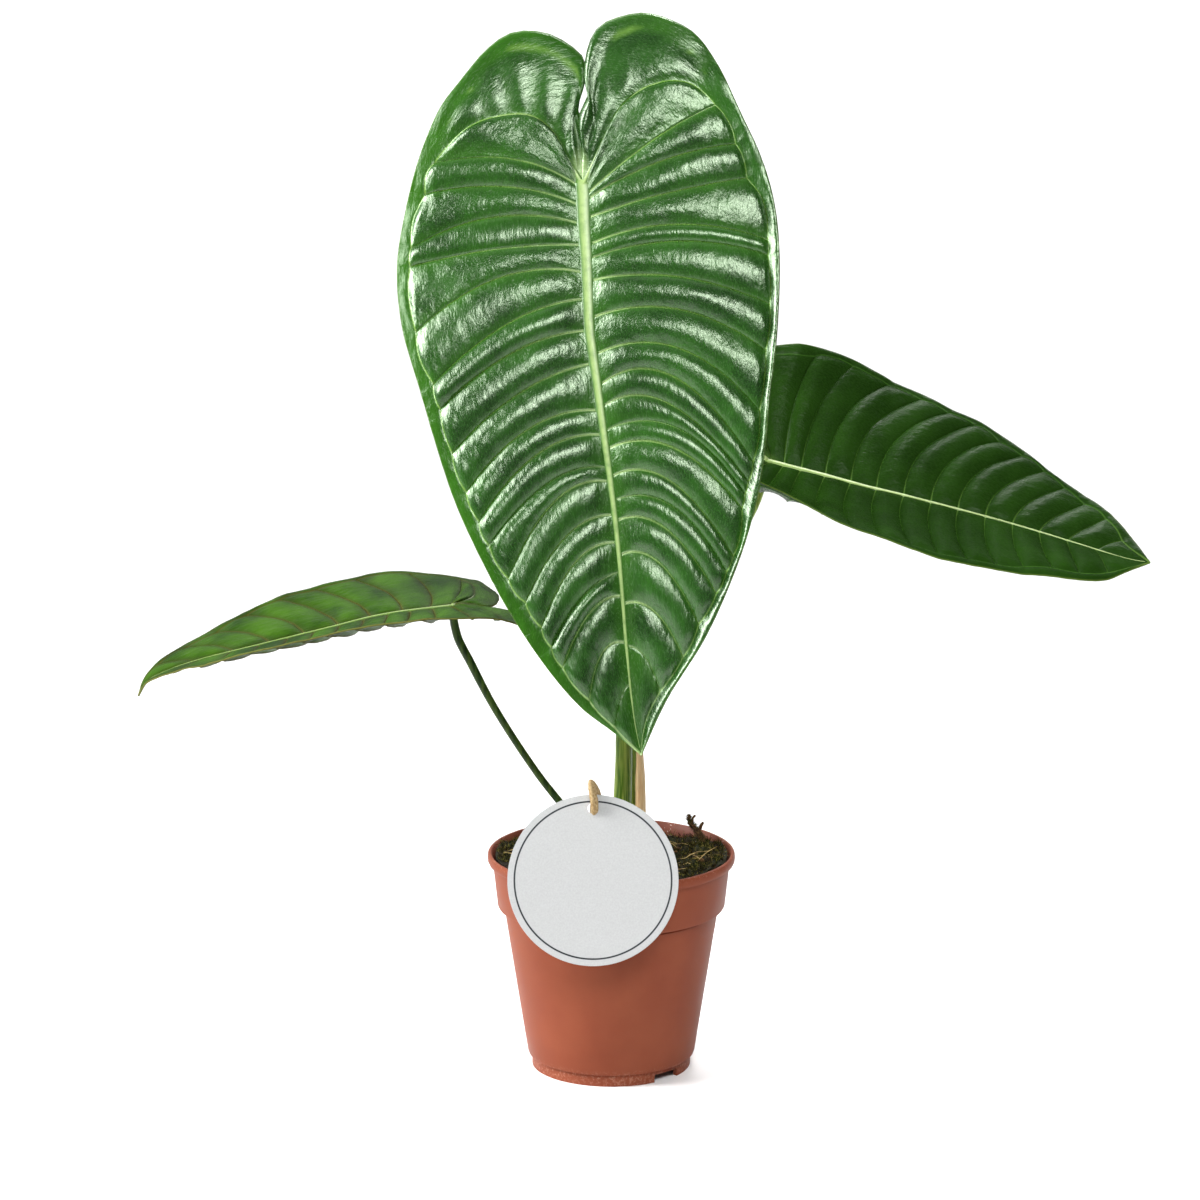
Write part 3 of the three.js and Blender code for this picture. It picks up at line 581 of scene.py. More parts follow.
def ribAlong(leaf, half, line, widths, lift, depth, name, sides=14, steps=90):
    # a lens-shaped rib on a line over the blade: lift above it, depth below
    shares = lengthShares(line)
    at = np.linspace(0, 1, steps + 1)
    middle = placeOn(line, shares, at)
    ahead = placeOn(line, shares, np.clip(at + 0.002, 0, 1))
    ahead = ahead - placeOn(line, shares, np.clip(at - 0.002, 0, 1))
    ahead /= np.linalg.norm(ahead, axis=1)[:, None]
    over = np.stack([-ahead[:, 1], ahead[:, 0]], -1)
    centre = leafPlace(leaf, half, middle[:, 0], middle[:, 1], np.zeros(len(at)))
    wayOver = (leafPlace(leaf, half, *(middle + over * 0.4).T, np.zeros(len(at))) - centre)
    wayOver -= (leafPlace(leaf, half, *(middle - over * 0.4).T, np.zeros(len(at))) - centre)
    wayOver /= np.linalg.norm(wayOver, axis=1)[:, None]
    wayOn = np.gradient(centre, axis=0)
    up = np.cross(wayOn, wayOver)
    up /= np.linalg.norm(up, axis=1)[:, None]
    facing = np.array(leafWays(leaf)[1])
    up *= np.sign((up @ facing))[:, None]
    points, faces, sideways = [], [], []
    for k in range(steps + 1):
        wide, high, low = (float(between(values, at[k])) for values in (widths, lift, depth))
        for s in range(sides):
            turn = 2 * math.pi * s / sides
            tall = high if math.sin(turn) > 0 else low
            points.append(centre[k] + wayOver[k] * wide * math.cos(turn)
                          + up[k] * tall * math.sin(turn))
            sideways.append(math.cos(turn))
    for k in range(steps):
        for s in range(sides):
            a, b = k * sides + s, k * sides + (s + 1) % sides
            faces.append((a, b, b + sides, a + sides))
    faces.append(tuple(range(sides)))
    faces.append(tuple(steps * sides + s for s in reversed(range(sides))))
    piece = meshPiece(name, points, faces)
    markPoints(piece, "sideways", sideways)
    choose(piece)
    bpy.ops.object.mode_set(mode="EDIT")
    bpy.ops.mesh.select_all(action="SELECT")
    bpy.ops.mesh.normals_make_consistent(inside=False)
    bpy.ops.object.mode_set(mode="OBJECT")
    return piece


def joined(name, pieces):
    deselectAll()
    for piece in pieces:
        piece.select_set(True)
    bpy.context.view_layer.objects.active = pieces[0]
    bpy.ops.object.join()
    pieces[0].name = name
    pieces[0].data.name = name
    return pieces[0]


def leafMaterial(name, look):
    # a living leaf's upper skin: waxy, so it shines over a matt green, with wrinkles across its
    # pillows and faintly green highlights, and with more sheen in some places than in others
    material, tree, shader, coords = newMaterial(name, {
        "IOR": look["ior"], "Specular Tint": hexColour("#eaffe0")})
    place = coords.outputs["Object"]
    skin = addNode(tree, "ShaderNodeUVMap", uv_map="skinMap").outputs[0]
    vein, margin, rib, swell, sheen = [
        addNode(tree, "ShaderNodeAttribute", attribute_name=kind).outputs["Fac"]
        for kind in ("vein", "margin", "rib", "swell", "sheen")]
    shine = addNode(tree, "ShaderNodeMath", {1: look["specular"]}, {0: sheen},
                    operation="MULTIPLY")
    tree.links.new(shine.outputs[0], shader.inputs["Specular IOR Level"])
    patches = addNode(tree, "ShaderNodeTexNoise", {"Scale": 1 / 0.022, "Detail": 3},
                      {"Vector": place})
    # wrinkles 0.8 mm wide and 1.9 mm long, in both the colour and the bump
    stretch = addNode(tree, "ShaderNodeMapping", {"Scale": (1 / 0.0008, 1 / 0.0019, 1)},
                      {"Vector": skin})
    wrinkles = addNode(tree, "ShaderNodeTexNoise", {"Scale": 1, "Detail": 3, "Roughness": 0.6},
                       {"Vector": stretch.outputs[0]})
    # shallow dents 3.5 mm wide and 9 mm long, in the bump
    stretch = addNode(tree, "ShaderNodeMapping", {"Scale": (1 / 0.0035, 1 / 0.009, 1)},
                      {"Vector": skin})
    dents = addNode(tree, "ShaderNodeTexNoise", {"Scale": 1, "Detail": 2},
                    {"Vector": stretch.outputs[0]})
    colour = tint(tree, look["dark"], look["light"], patches.outputs[0], 0.35, 0.65)
    colour = tint(tree, colour, look["light"], wrinkles.outputs[0], 0.4, 0.7, 0, 0.45)
    # painted light and shade: where the pillows sink beside the veins the colour turns to the
    # look's low colour, lighter as a painted light on the large leaf and darker as a painted shade
    # on the left leaf
    colour = tint(tree, colour, look["low"], swell, 0, 0.6, look["valleyShading"], 0)
    veinColour = addNode(tree, "ShaderNodeMix",
                         {6: hexColour(look["vein"]), 7: hexColour(look["veinRoot"])},
                         {0: rib}, data_type="RGBA").outputs[2]
    share = addNode(tree, "ShaderNodeMapRange", {1: 0.2, 2: 0.9, 3: 0, 4: look["veinAmount"]},
                    {0: vein}).outputs[0]
    colour = addNode(tree, "ShaderNodeMix", None, {0: share, 6: colour, 7: veinColour},
                     data_type="RGBA").outputs[2]
    colour = tint(tree, colour, look["marginLine"], margin, 0.2, 0.9, 0, look["marginAmount"])
    tree.links.new(colour, shader.inputs["Base Color"])
    rough = addNode(tree, "ShaderNodeMapRange",
                    {1: 0.3, 2: 0.7, 3: look["gloss"][0], 4: look["gloss"][1]},
                    {0: wrinkles.outputs[0]}).outputs[0]
    tree.links.new(rough, shader.inputs["Roughness"])
    dentBump = addNode(tree, "ShaderNodeBump", {"Strength": look["dents"], "Distance": 0.0012},
                       {"Height": dents.outputs[0]})
    bump = addNode(tree, "ShaderNodeBump", {"Strength": look["wrinkles"], "Distance": 0.0004},
                   {"Height": wrinkles.outputs[0], "Normal": dentBump.outputs[0]})
    tree.links.new(bump.outputs[0], shader.inputs["Normal"])
    return material


def underMaterial(name, base, veinColour):
    # the underside has no wax: paler, matt, with raised pale veins
    material, tree, shader, coords = newMaterial(name, {
        "Specular IOR Level": 0.3, "Roughness": 0.6})
    place = coords.outputs["Object"]
    vein = addNode(tree, "ShaderNodeAttribute", attribute_name="vein").outputs["Fac"]
    patches = addNode(tree, "ShaderNodeTexNoise", {"Scale": 1 / 0.018, "Detail": 4},
                      {"Vector": place})
    share = addNode(tree, "ShaderNodeMapRange", {1: 0.3, 2: 0.7, 3: 0.86, 4: 1.12},
                    {0: patches.outputs[0]}).outputs[0]
    shade = addNode(tree, "ShaderNodeHueSaturation", {"Color": hexColour(base)},
                    {"Value": share})
    colour = tint(tree, shade.outputs[0], veinColour, vein, 0.1, 0.9, 0, 0.8)
    tree.links.new(colour, shader.inputs["Base Color"])
    # the mesh of veinlets, really about 0.5 mm, drawn at 1.4 mm so that it shows
    grain = addNode(tree, "ShaderNodeTexNoise", {"Scale": 1 / 0.0014, "Detail": 2},
                    {"Vector": place})
    bump = addNode(tree, "ShaderNodeBump", {"Strength": 0.25, "Distance": 0.0003},
                   {"Height": grain.outputs[0]})
    tree.links.new(bump.outputs[0], shader.inputs["Normal"])
    return material


def ribMaterial(name, base, edge):
    # fleshy rib: smooth and a little waxy, palest along its top, greener down its sides
    material, tree, shader, coords = newMaterial(name, {
        "Specular IOR Level": 0.45, "Roughness": 0.36})
    sideways = addNode(tree, "ShaderNodeAttribute", attribute_name="sideways").outputs["Fac"]
    streaks = addNode(tree, "ShaderNodeTexNoise", {"Scale": 1 / 0.0035, "Detail": 4},
                      {"Vector": coords.outputs["Object"]})
    square = addNode(tree, "ShaderNodeMath", links={0: sideways, 1: sideways}, operation="MULTIPLY")
    colour = tint(tree, base, edge, square.outputs[0], 0.02, 0.4)
    colour = tint(tree, colour, edge, streaks.outputs[0], 0.45, 0.75, 0, 0.5)
    tree.links.new(colour, shader.inputs["Base Color"])
    bump = addNode(tree, "ShaderNodeBump", {"Strength": 0.15, "Distance": 0.0003},
                   {"Height": streaks.outputs[0]})
    tree.links.new(bump.outputs[0], shader.inputs["Normal"])
    return material


leafTraits = {
    "large": {
        "name": "largeLeaf",
        "sinus": (-13.5, 0, 431),
        "length": 268,
        "halfWidth": 91,
        "tipWay": (27, -76, -256),
        "faceWay": (-0.04, -1, 0.2),
        "spine": [(0, 0), (0.25, 0.022), (0.5, 0.028), (0.8, 0.012), (1, -0.015)],
        "lobeLift": -10,
        "fold": ((5, 12, 19), (12, 12, 6)),
        "curl": ((16, 12), (18, 12)),
        "lobeSize": (1, 1),
        "tipFullness": (0, 0),
        "strip": ((8, 0.4), (10.5, 1.0)),
        "creases": (((0.2, 0.03, 0.5), (0.3, 0.03, 0.8), (0.42, 0.03, 0.8), (0.54, 0.03, 0.7),
                     (0.66, 0.03, 0.5)),
                    ((0.42, 0.03, 0.35), (0.55, 0.03, 0.3))),
        "flap": (0, 2.4),
        "sheen": (1, 1),
        "rimSheen": (0.3, 1),
        "scallop": 0.16,
        "paleReach": 26,
        "relief": 2.5,
        "groove": 0.3,
        "ribFade": 10,
        "ringFade": 1.5,
        "edgeSwell": 0.12,
        "marginSwell": (0.08, 0.3),
        "lipRise": (-0.4, 3.6),
        "margin": 8,
        "wave": 0.9,
        "crinkle": 0.42,
        "veinHalf": 0.62,
        "edgeLine": 0.55,
        "thickness": 0.7,
        "columns": 40,
        "bandColumns": 10,
        "lineGap": 0.85,
        "lobeSteps": 44,
        "ribWidth": (4.2, 3.7, 3.0, 2.3, 1.7, 1.2, 0.5),
        "ribLift": (1.5, 1.6, 1.4, 1.15, 0.95, 0.7, 0.4),
        "ribDepth": (2.2, 2.2, 1.9, 1.6, 1.2, 0.9, 0.4),
        "basalWidth": (1.7, 0.8, 0.5, 0.4, 0.3),
        "veins": largeVeins,
        "seed": 4,
        "node": "leaf_large_blade",
        "slot": "large_leaf",
    },
    "left": {
        "name": "leftLeaf",
        "sinus": (-77, 12.2, 226),
        "length": 156,
        "halfWidth": 54,
        "tipWay": (-1, -0.02, -0.14),
        "faceWay": (-0.1, -0.02, 1),
        "spine": [(0, 0), (0.2, 0), (0.4, -0.019), (0.6, -0.038), (0.8, -0.06), (0.9, -0.08),
                  (0.965, -0.104), (1, -0.145)],
        "lobeLift": -14,
        "fold": ((3, 10.7, 14.5, 10.5, 10), (-6, -6, -6, -6, 6)),
        "curl": ((0, 0), (-13, -14.5, -18.6, -24, -20)),
        "lobeSize": (0.5, 0.9),
        "tipFullness": (0, 0),
        "strip": ((5, 0.3), (5, 0.3)),
        "creases": (((0.4, 0.03, 0.4),), ((0.4, 0.03, 0.4),)),
        "flap": (0, 0),
        "sheen": (0.7, 0.7),
        "rimSheen": (1, 1),
        "scallop": 0.12,
        "paleReach": 10,
        "relief": 1.5,
        "groove": 0.25,
        "ribFade": 4,
        "ringFade": 3,
        "edgeSwell": 0.3,
        "marginSwell": (0.2, 0.2),
        "lipRise": (0, 0),
        "margin": 5,
        "wave": 0.7,
        "crinkle": 0.2,
        "veinHalf": 0.8,
        "edgeLine": 0.5,
        "thickness": 0.6,
        "columns": 30,
        "bandColumns": 8,
        "lineGap": 1.0,
        "lobeSteps": 26,
        "ribWidth": (1.7, 1.5, 1.2, 1.0, 0.8, 0.6, 0.35),
        "ribLift": (0.8, 0.8, 0.75, 0.7, 0.6, 0.5, 0.4),
        "ribDepth": (1.4, 1.3, 1.1, 0.9, 0.8, 0.6, 0.3),
        "basalWidth": (1.1, 0.8, 0.6, 0.45, 0.35),
        "veins": leftVeins,
        "seed": 9,
        "node": "leaf_left_blade",
        "slot": "left_leaf",
    },
    "right": {
        "name": "rightLeaf",
        "sinus": (75, 25, 295),
        "length": 189,
        "halfWidth": 68,
        "tipWay": (186, -34, -37),
        "faceWay": (0.1, -0.4, 0.92),
        "spine": [(0, 0), (0.3, -0.004), (0.6, -0.02), (1, -0.045)],
        "lobeLift": 4,
        "fold": ((-15, 5, 5, 4, 3), (35, 19.5, 18.5, 12.5, 6)),
        "curl": ((-54, -17, -6.5, -2, 2), (3, 3)),
        "lobeSize": (1, 1),
        "tipFullness": (0.45, 1.15),
        "strip": ((6, 0.3), (6, 0.3)),
        "creases": (((0.4, 0.03, 0.4),), ((0.4, 0.03, 0.4),)),
        "flap": (0, 0),
        "sheen": (0.1, 1.6),
        "rimSheen": (1, 1),
        "scallop": 0.12,
        "paleReach": 12,
        "relief": 2.0,
        "groove": 0.2,
        "ribFade": 5,
        "ringFade": 3,
        "edgeSwell": 0.25,
        "marginSwell": (0.25, 0.25),
        "lipRise": (0, 0),
        "margin": 6,
        "wave": 0.8,
        "crinkle": 0.2,
        "veinHalf": 0.42,
        "edgeLine": 0.5,
        "thickness": 0.6,
        "columns": 32,
        "bandColumns": 8,
        "lineGap": 1.0,
        "lobeSteps": 30,
        "ribWidth": (1.9, 1.7, 1.4, 1.1, 0.8, 0.6, 0.35),
        "ribLift": (0.8, 0.8, 0.75, 0.7, 0.65, 0.6, 0.5),
        "ribDepth": (1.6, 1.5, 1.2, 1.0, 0.8, 0.6, 0.3),
        "basalWidth": (1.2, 0.9, 0.7, 0.5, 0.35),
        "veins": rightVeins,
        "seed": 15,
        "node": "leaf_right_blade",
        "slot": "right_leaf",
    },
}
# each look's low colour and its share paint light and shade into the valleys beside the veins
leafLooks = {
    "large": {
        "dark": "#0f2e07", "light": "#1f480f", "low": "#326016", "valleyShading": 0.5, "vein": "#7a9f48",
        "veinRoot": "#b4cc90", "veinAmount": 0.75, "marginLine": "#7f9d48", "marginAmount": 0.15,
        "specular": 1.0, "ior": 1.45, "gloss": (0.17, 0.32), "dents": 0.35, "wrinkles": 0.42,
        "edge": "#3f5f22", "under": "#6f8a48", "underVein": "#a3b878", "rib": "#90a968",
        "ribEdge": "#3c661f",
    },
    "left": {
        "dark": "#0e2604", "light": "#30500c", "low": "#242b0a", "valleyShading": 0.65, "vein": "#473d1c",
        "veinRoot": "#4f4c24", "veinAmount": 0.5, "marginLine": "#6d6c36", "marginAmount": 0.6,
        "specular": 0.5, "ior": 1.12, "gloss": (0.34, 0.5), "dents": 0.4, "wrinkles": 0.5,
        "edge": "#77743c", "under": "#6f6238", "underVein": "#a39766", "rib": "#74893e",
        "ribEdge": "#48621f",
    },
    "right": {
        "dark": "#18310a", "light": "#213f0f", "low": "#1d3a0b", "valleyShading": 0.3, "vein": "#48742b",
        "veinRoot": "#739848", "veinAmount": 0.6, "marginLine": "#5f7434", "marginAmount": 0.6,
        "specular": 0.5, "ior": 1.12, "gloss": (0.22, 0.34), "dents": 0.4, "wrinkles": 0.5,
        "edge": "#76833f", "under": "#8c9a4c", "underVein": "#adb670", "rib": "#b8cc88",
        "ribEdge": "#839f52",
    },
}
for key, leaf in leafTraits.items():
    look = leafLooks[key]
    leaf["spineLine"] = lineFrom(leaf["spine"])
    top = leafMaterial("waxy leaf skin " + key, look)
    under = underMaterial("matt leaf underside " + key, look["under"], look["underVein"])
    halves = [halfBlade(leaf, half, leaf["veins"][half], leaf["seed"]) for half in (0, 1)]
    blade = joined(leaf["name"] + "Blade", halves)
    edge = ribMaterial("cut leaf edge " + key, look["edge"], look["low"])
    dress(blade, leaf["slot"], top, under, edge)
    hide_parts(leaf["node"])
    ribLine = midribLine[(midribLine[:, 0] >= -3) & (midribLine[:, 0] <= 265)]
    ribs = [ribAlong(leaf, 1, ribLine, leaf["ribWidth"], leaf["ribLift"], leaf["ribDepth"],
                     leaf["name"] + "Midrib")]
    for half in (0, 1):
        line, shares = lineFrom(leafFlat["collective"][half])
        lift = [0.25 + 0.7 * wide for wide in leaf["basalWidth"]]
        depth = [0.9 * wide for wide in leaf["basalWidth"]]
        ribs.append(ribAlong(leaf, half, line[shares < 0.2], leaf["basalWidth"], lift, depth,
                             "basal", 10, 30))
    rib = joined(leaf["name"] + "Ribs", ribs)
    dress(rib, leaf["slot"], ribMaterial("pale fleshy rib " + key, look["rib"], look["ribEdge"]))
    triangles = sum(len(p.vertices) - 2 for p in blade.data.polygons)
    print(leaf["name"], "blade and ribs are made,", triangles, "triangles")

# Stalks

stalkTraits = {
    "leaf_large": {
        "points": [(3.5, 1, 84), (4.4, 1.5, 112), (6, 3, 160), (1, 9, 260), (-7, 12, 350),
                   (-12.8, 11, 416)],
        "radii": (3.6, 4.4, 3.7, 2.6, 2.4, 2.5, 2.8, 2.4),
        "leaf": "large", "ribHeight": 1.1, "name": "largeStalk",
        "colours": ("#406114", "#8a9d43", "#7a8531"),
    },
    "leaf_left": {
        "points": [(-3.5, 3, 84), (-8, 3.2, 106), (-23.5, 4, 128.5), (-33.4, 5.5, 141),
                   (-46.8, 7.5, 160.6), (-58.6, 9.5, 180), (-68.6, 11.5, 199.4), (-73.9, 12, 210)],
        "radii": (2.8, 2.6, 2, 1.8, 1.75, 1.75, 1.8, 2, 2.1, 2),
        "leaf": "left", "ribHeight": 0.7, "name": "leftStalk",
        "colours": ("#1b300b", "#374c13", "#3d4719"),
    },
    "leaf_right": {
        "points": [(10.4, 9.5, 84), (11, 10, 130), (13, 11, 168), (38, 16, 220), (68.5, 23.5, 272)],
        "radii": (2.9, 2.5, 2.2, 1.9, 1.9, 2.1, 2),
        "leaf": "right", "ribHeight": 0.8, "name": "rightStalk",
        "colours": ("#4f6f22", "#8ea450", "#8a9144"),
    },
}


def tubeAlong(name, points, radii, sides=6, flatten=None):
    deselectAll()
    bpy.ops.curve.primitive_bezier_curve_add(location=(0, 0, 0))
    curve = bpy.context.object
    data = curve.data
    data.dimensions = "3D"
    spline = data.splines[0]
    line = lineThrough(points, 10)[::5]
    if not np.allclose(line[-1], points[-1]):
        line = np.vstack([line, [points[-1]]])
    shares = lengthShares(line)
    spline.bezier_points.add(len(line) - 2)
    for knot, place, share in zip(spline.bezier_points, line, shares):
        knot.co = Vector(place * mm)
        knot.handle_left_type = knot.handle_right_type = "AUTO"
        knot.radius = float(between(radii, share))
    data.bevel_depth = mm
    data.bevel_resolution = sides
    data.resolution_u = 5
    data.use_fill_caps = True
    if flatten:
        data.extrude = flatten * mm
    bpy.ops.object.convert(target="MESH")
    piece = bpy.context.object
    piece.name = name
    piece.data.name = name
    smoothBy(piece, 60)
    return piece


def stalkMaterial(name, dark, light, stain):
    # a fleshy stalk: smooth skin, browner towards its base, with fine streaks along it
    material, tree, shader, coords = newMaterial(name, {"Specular IOR Level": 0.2})
    place = coords.outputs["Object"]
    height = addNode(tree, "ShaderNodeSeparateXYZ", links={0: place}).outputs["Z"]
    # streaks 50 mm long and really about 0.5 mm wide, drawn 1.8 mm wide so that they show
    stretch = addNode(tree, "ShaderNodeMapping", {"Scale": (1 / 0.0018, 1 / 0.0018, 1 / 0.05)},
                      {"Vector": place})
    streaks = addNode(tree, "ShaderNodeTexNoise", {"Scale": 1, "Detail": 3},
                      {"Vector": stretch.outputs[0]})
    blotches = addNode(tree, "ShaderNodeTexNoise", {"Scale": 1 / 0.009, "Detail": 3},
                       {"Vector": place})
    colour = tint(tree, dark, light, streaks.outputs[0], 0.4, 0.6)
    colour = tint(tree, colour, stain, blotches.outputs[0], 0.5, 0.75, 0, 0.4)
    colour = tint(tree, colour, "#8d7a48", height, 0.125, 0.085, 0, 0.6)
    tree.links.new(colour, shader.inputs["Base Color"])
    share = addNode(tree, "ShaderNodeMapRange", {1: 0.3, 2: 0.7, 3: 0.32, 4: 0.48},
                    {0: streaks.outputs[0]}).outputs[0]
    tree.links.new(share, shader.inputs["Roughness"])
    bump = addNode(tree, "ShaderNodeBump", {"Strength": 0.25, "Distance": 0.0003},
                   {"Height": streaks.outputs[0]})
    tree.links.new(bump.outputs[0], shader.inputs["Normal"])
    return material


for node, stalk in stalkTraits.items():
    leaf = leafTraits[stalk["leaf"]]
    face = leafWays(leaf)[1]
    under = 0.35 + stalk["ribHeight"] + 0.3  # from the blade's middle to the stalk's end
    sinus = np.array(leaf["sinus"], float)
    ends = [tuple(sinus - face * (under + 5)), tuple(sinus - face * (under - 0.6))]
    piece = tubeAlong(stalk["name"], stalk["points"] + ends, stalk["radii"], 7)
    skin = stalkMaterial("green leaf stalk skin " + stalk["leaf"], *stalk["colours"])
    dress(piece, "stalk", skin)
    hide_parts(node + "_petiole")
print("stalks are made")

# Pot: rings extruded from one circle, bottom of the foot to the lip and down the inside

potTraits = {
    "segments": 128,
    "hub": 6,
    "notchAngles": (-46, 74, 166),
    "notchHeight": 4,
    "notchDepth": 8,
    "notchWidth": 15,
    "notchCircle": 37.4,
    "drainCount": 6,
    "drainRadius": 3.2,
    "drainCircle": 27,
    "softEdge": 0.35,
}
potRings = [  # radius and height, millimetres
    (6, 5.2), (36.2, 5.2), (36.2, 0), (38.6, 0), (38.6, 5.6), (40.3, 6.2), (40.8, 7.5),
    (43.65, 25.8), (46.5, 44), (49.3, 62), (51.9, 78.8), (51.3, 79.3), (51.3, 79.8), (53, 80.1),
    (54.8, 80.4), (55.2, 81.2),
    (56.3, 91.5), (57.45, 101.6), (58.2, 102), (59.4, 102.3), (59.9, 103.4), (60, 104.4),
    (59.9, 105.9), (59.5, 106.7), (58.9, 107), (58.3, 106.9), (57.9, 106.4), (57.4, 104),
    (56.8, 101), (54.9, 91), (53.6, 81.8), (52.4, 81), (50.7, 80.4), (45, 43.7), (39.4, 7), (6, 7),
]


def ringTo(state, radius, height):  # extrudes the selected ring to its next radius and height
    bpy.ops.mesh.extrude_region_move(
        TRANSFORM_OT_translate={"value": (0, 0, (height - state[1]) * mm)})
    k = radius / state[0]
    bpy.ops.transform.resize(value=(k, k, 1), center_override=(0, 0, height * mm))
    return radius, height


def selectIn(piece, test, kind="VERT"):  # selects in edit mode what the test says, by its place
    cage = bmesh.from_edit_mesh(piece.data)
    items = {"VERT": cage.verts, "EDGE": cage.edges, "FACE": cage.faces}[kind]
    bpy.ops.mesh.select_mode(type=kind)
    bpy.ops.mesh.select_all(action="DESELECT")
    for item in items:
        item.select_set(bool(test(item)))
    cage.select_flush_mode()
    bmesh.update_edit_mesh(piece.data)


deselectAll()
bpy.ops.mesh.primitive_circle_add(vertices=potTraits["segments"], radius=potTraits["hub"] * mm,
                                  fill_type="NGON", location=(0, 0, 0))
pot = bpy.context.object
pot.name = "nurseryPot"
bpy.ops.object.mode_set(mode="EDIT")
bpy.ops.mesh.select_mode(type="EDGE")
state = (potTraits["hub"], 0)
selectIn(pot, lambda edge: edge.is_boundary, "EDGE")
for radius, ringHeight in potRings:
    state = ringTo(state, radius, ringHeight)
bpy.ops.mesh.edge_face_add()
bpy.ops.mesh.select_all(action="SELECT")
bpy.ops.mesh.normals_make_consistent(inside=False)
bpy.ops.object.mode_set(mode="OBJECT")
cutters = []
for angle in potTraits["notchAngles"]:
    turn = math.radians(angle)
    out = potTraits["notchCircle"] * mm
    bpy.ops.mesh.primitive_cube_add(
        size=1, location=(out * math.cos(turn), out * math.sin(turn), 0), rotation=(0, 0, turn),
        scale=(potTraits["notchDepth"] * mm, potTraits["notchWidth"] * mm,
               potTraits["notchHeight"] * 2 * mm))
    cutter = bpy.context.object
    finishWith(cutter, "BEVEL", width=0.8 * mm, segments=3)
    cutters.append(cutter)
for i in range(potTraits["drainCount"]):
    turn = 2 * math.pi * (i + 0.5) / potTraits["drainCount"]
    out = potTraits["drainCircle"] * mm
    bpy.ops.mesh.primitive_cylinder_add(
        vertices=32, radius=potTraits["drainRadius"] * mm, depth=8 * mm,
        location=(out * math.cos(turn), out * math.sin(turn), 6 * mm))
    cutters.append(bpy.context.object)
for cutter in cutters:
    settle(cutter)
    finishWith(pot, "BOOLEAN", operation="DIFFERENCE", object=cutter, solver="EXACT")
    bpy.data.objects.remove(cutter)
finishWith(pot, "BEVEL", width=potTraits["softEdge"] * mm, segments=2, limit_method="ANGLE",
           angle_limit=math.radians(40))
smoothBy(pot, 32)

# injection-moulded polypropylene: satin, even terracotta, slightly scuffed, with faint flow marks
potPlastic, tree, shader, coords = newMaterial("moulded terracotta polypropylene", {
    "Specular IOR Level": 0.2, "IOR": 1.25})
place = coords.outputs["Object"]
height = addNode(tree, "ShaderNodeSeparateXYZ", links={0: place}).outputs["Z"]
clouds = addNode(tree, "ShaderNodeTexNoise", {"Scale": 1 / 0.03, "Detail": 4}, {"Vector": place})
# the mould's own tooth, really about 0.2 mm, drawn at 0.7 mm so that it shows
tooth = addNode(tree, "ShaderNodeTexNoise", {"Scale": 1 / 0.0007, "Detail": 2}, {"Vector": place})
colour = tint(tree, "#713927", "#7a412d", clouds.outputs[0], 0.3, 0.7)
# dusty scuffs on the foot and along the lip, 1.4 mm and smaller
rubs = addNode(tree, "ShaderNodeTexNoise", {"Scale": 1 / 0.0014, "Detail": 5, "Roughness": 0.7},
               {"Vector": place})
for low, high, cut in ((0.009, 0.004, 0.5), (0.1045, 0.1066, 0.54)):  # from low to high, metres
    zone = addNode(tree, "ShaderNodeMapRange", {1: low, 2: high}, {0: height}).outputs[0]
    share = addNode(tree, "ShaderNodeMapRange", {1: cut, 2: cut + 0.14, 3: 0, 4: 0.25},
                    {0: rubs.outputs[0]}).outputs[0]
    rubbed = addNode(tree, "ShaderNodeMath", links={0: share, 1: zone}, operation="MULTIPLY")
    colour = addNode(tree, "ShaderNodeMix", {7: hexColour("#cf9f88")},
                     {0: rubbed.outputs[0], 6: colour}, data_type="RGBA").outputs[2]
tree.links.new(colour, shader.inputs["Base Color"])
share = addNode(tree, "ShaderNodeMapRange", {1: 0.3, 2: 0.7, 3: 0.42, 4: 0.52},
                {0: clouds.outputs[0]}).outputs[0]
tree.links.new(share, shader.inputs["Roughness"])
bump = addNode(tree, "ShaderNodeBump", {"Strength": 0.12, "Distance": 0.0002},
               {"Height": tooth.outputs[0]})
tree.links.new(bump.outputs[0], shader.inputs["Normal"])

# the same plastic inside, redder in its own shade and spotted with white lime from watering
potInside, tree, shader, coords = newMaterial("limed inner wall of the pot",
                                              {"Specular IOR Level": 0.35})
place = coords.outputs["Object"]
spots = addNode(tree, "ShaderNodeTexNoise", {"Scale": 1 / 0.0016, "Detail": 4}, {"Vector": place})
clouds = addNode(tree, "ShaderNodeTexNoise", {"Scale": 1 / 0.012, "Detail": 3}, {"Vector": place})
limed = addNode(tree, "ShaderNodeMath", links={0: spots.outputs[0], 1: clouds.outputs[0]},
                operation="MULTIPLY")
colour = tint(tree, "#6d3524", "#773d2a", clouds.outputs[0], 0.3, 0.7)
colour = tint(tree, colour, "#d0b8a8", limed.outputs[0], 0.38, 0.43, 0, 0.6)
tree.links.new(colour, shader.inputs["Base Color"])
share = addNode(tree, "ShaderNodeMapRange", {1: 0.3, 2: 0.4, 3: 0.5, 4: 0.8},
                {0: limed.outputs[0]}).outputs[0]
tree.links.new(share, shader.inputs["Roughness"])
dress(pot, "pot_plastic", potPlastic, potInside)
for face in pot.data.polygons:
    outwards = Vector((face.center.x, face.center.y, 0)).normalized()
    if face.normal.dot(outwards) < -0.2 and face.center.z > 0.03:
        face.material_index = 1
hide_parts("pot")
print("pot is made,", len(pot.data.polygons), "faces")

# Soil, moss and what lies on it

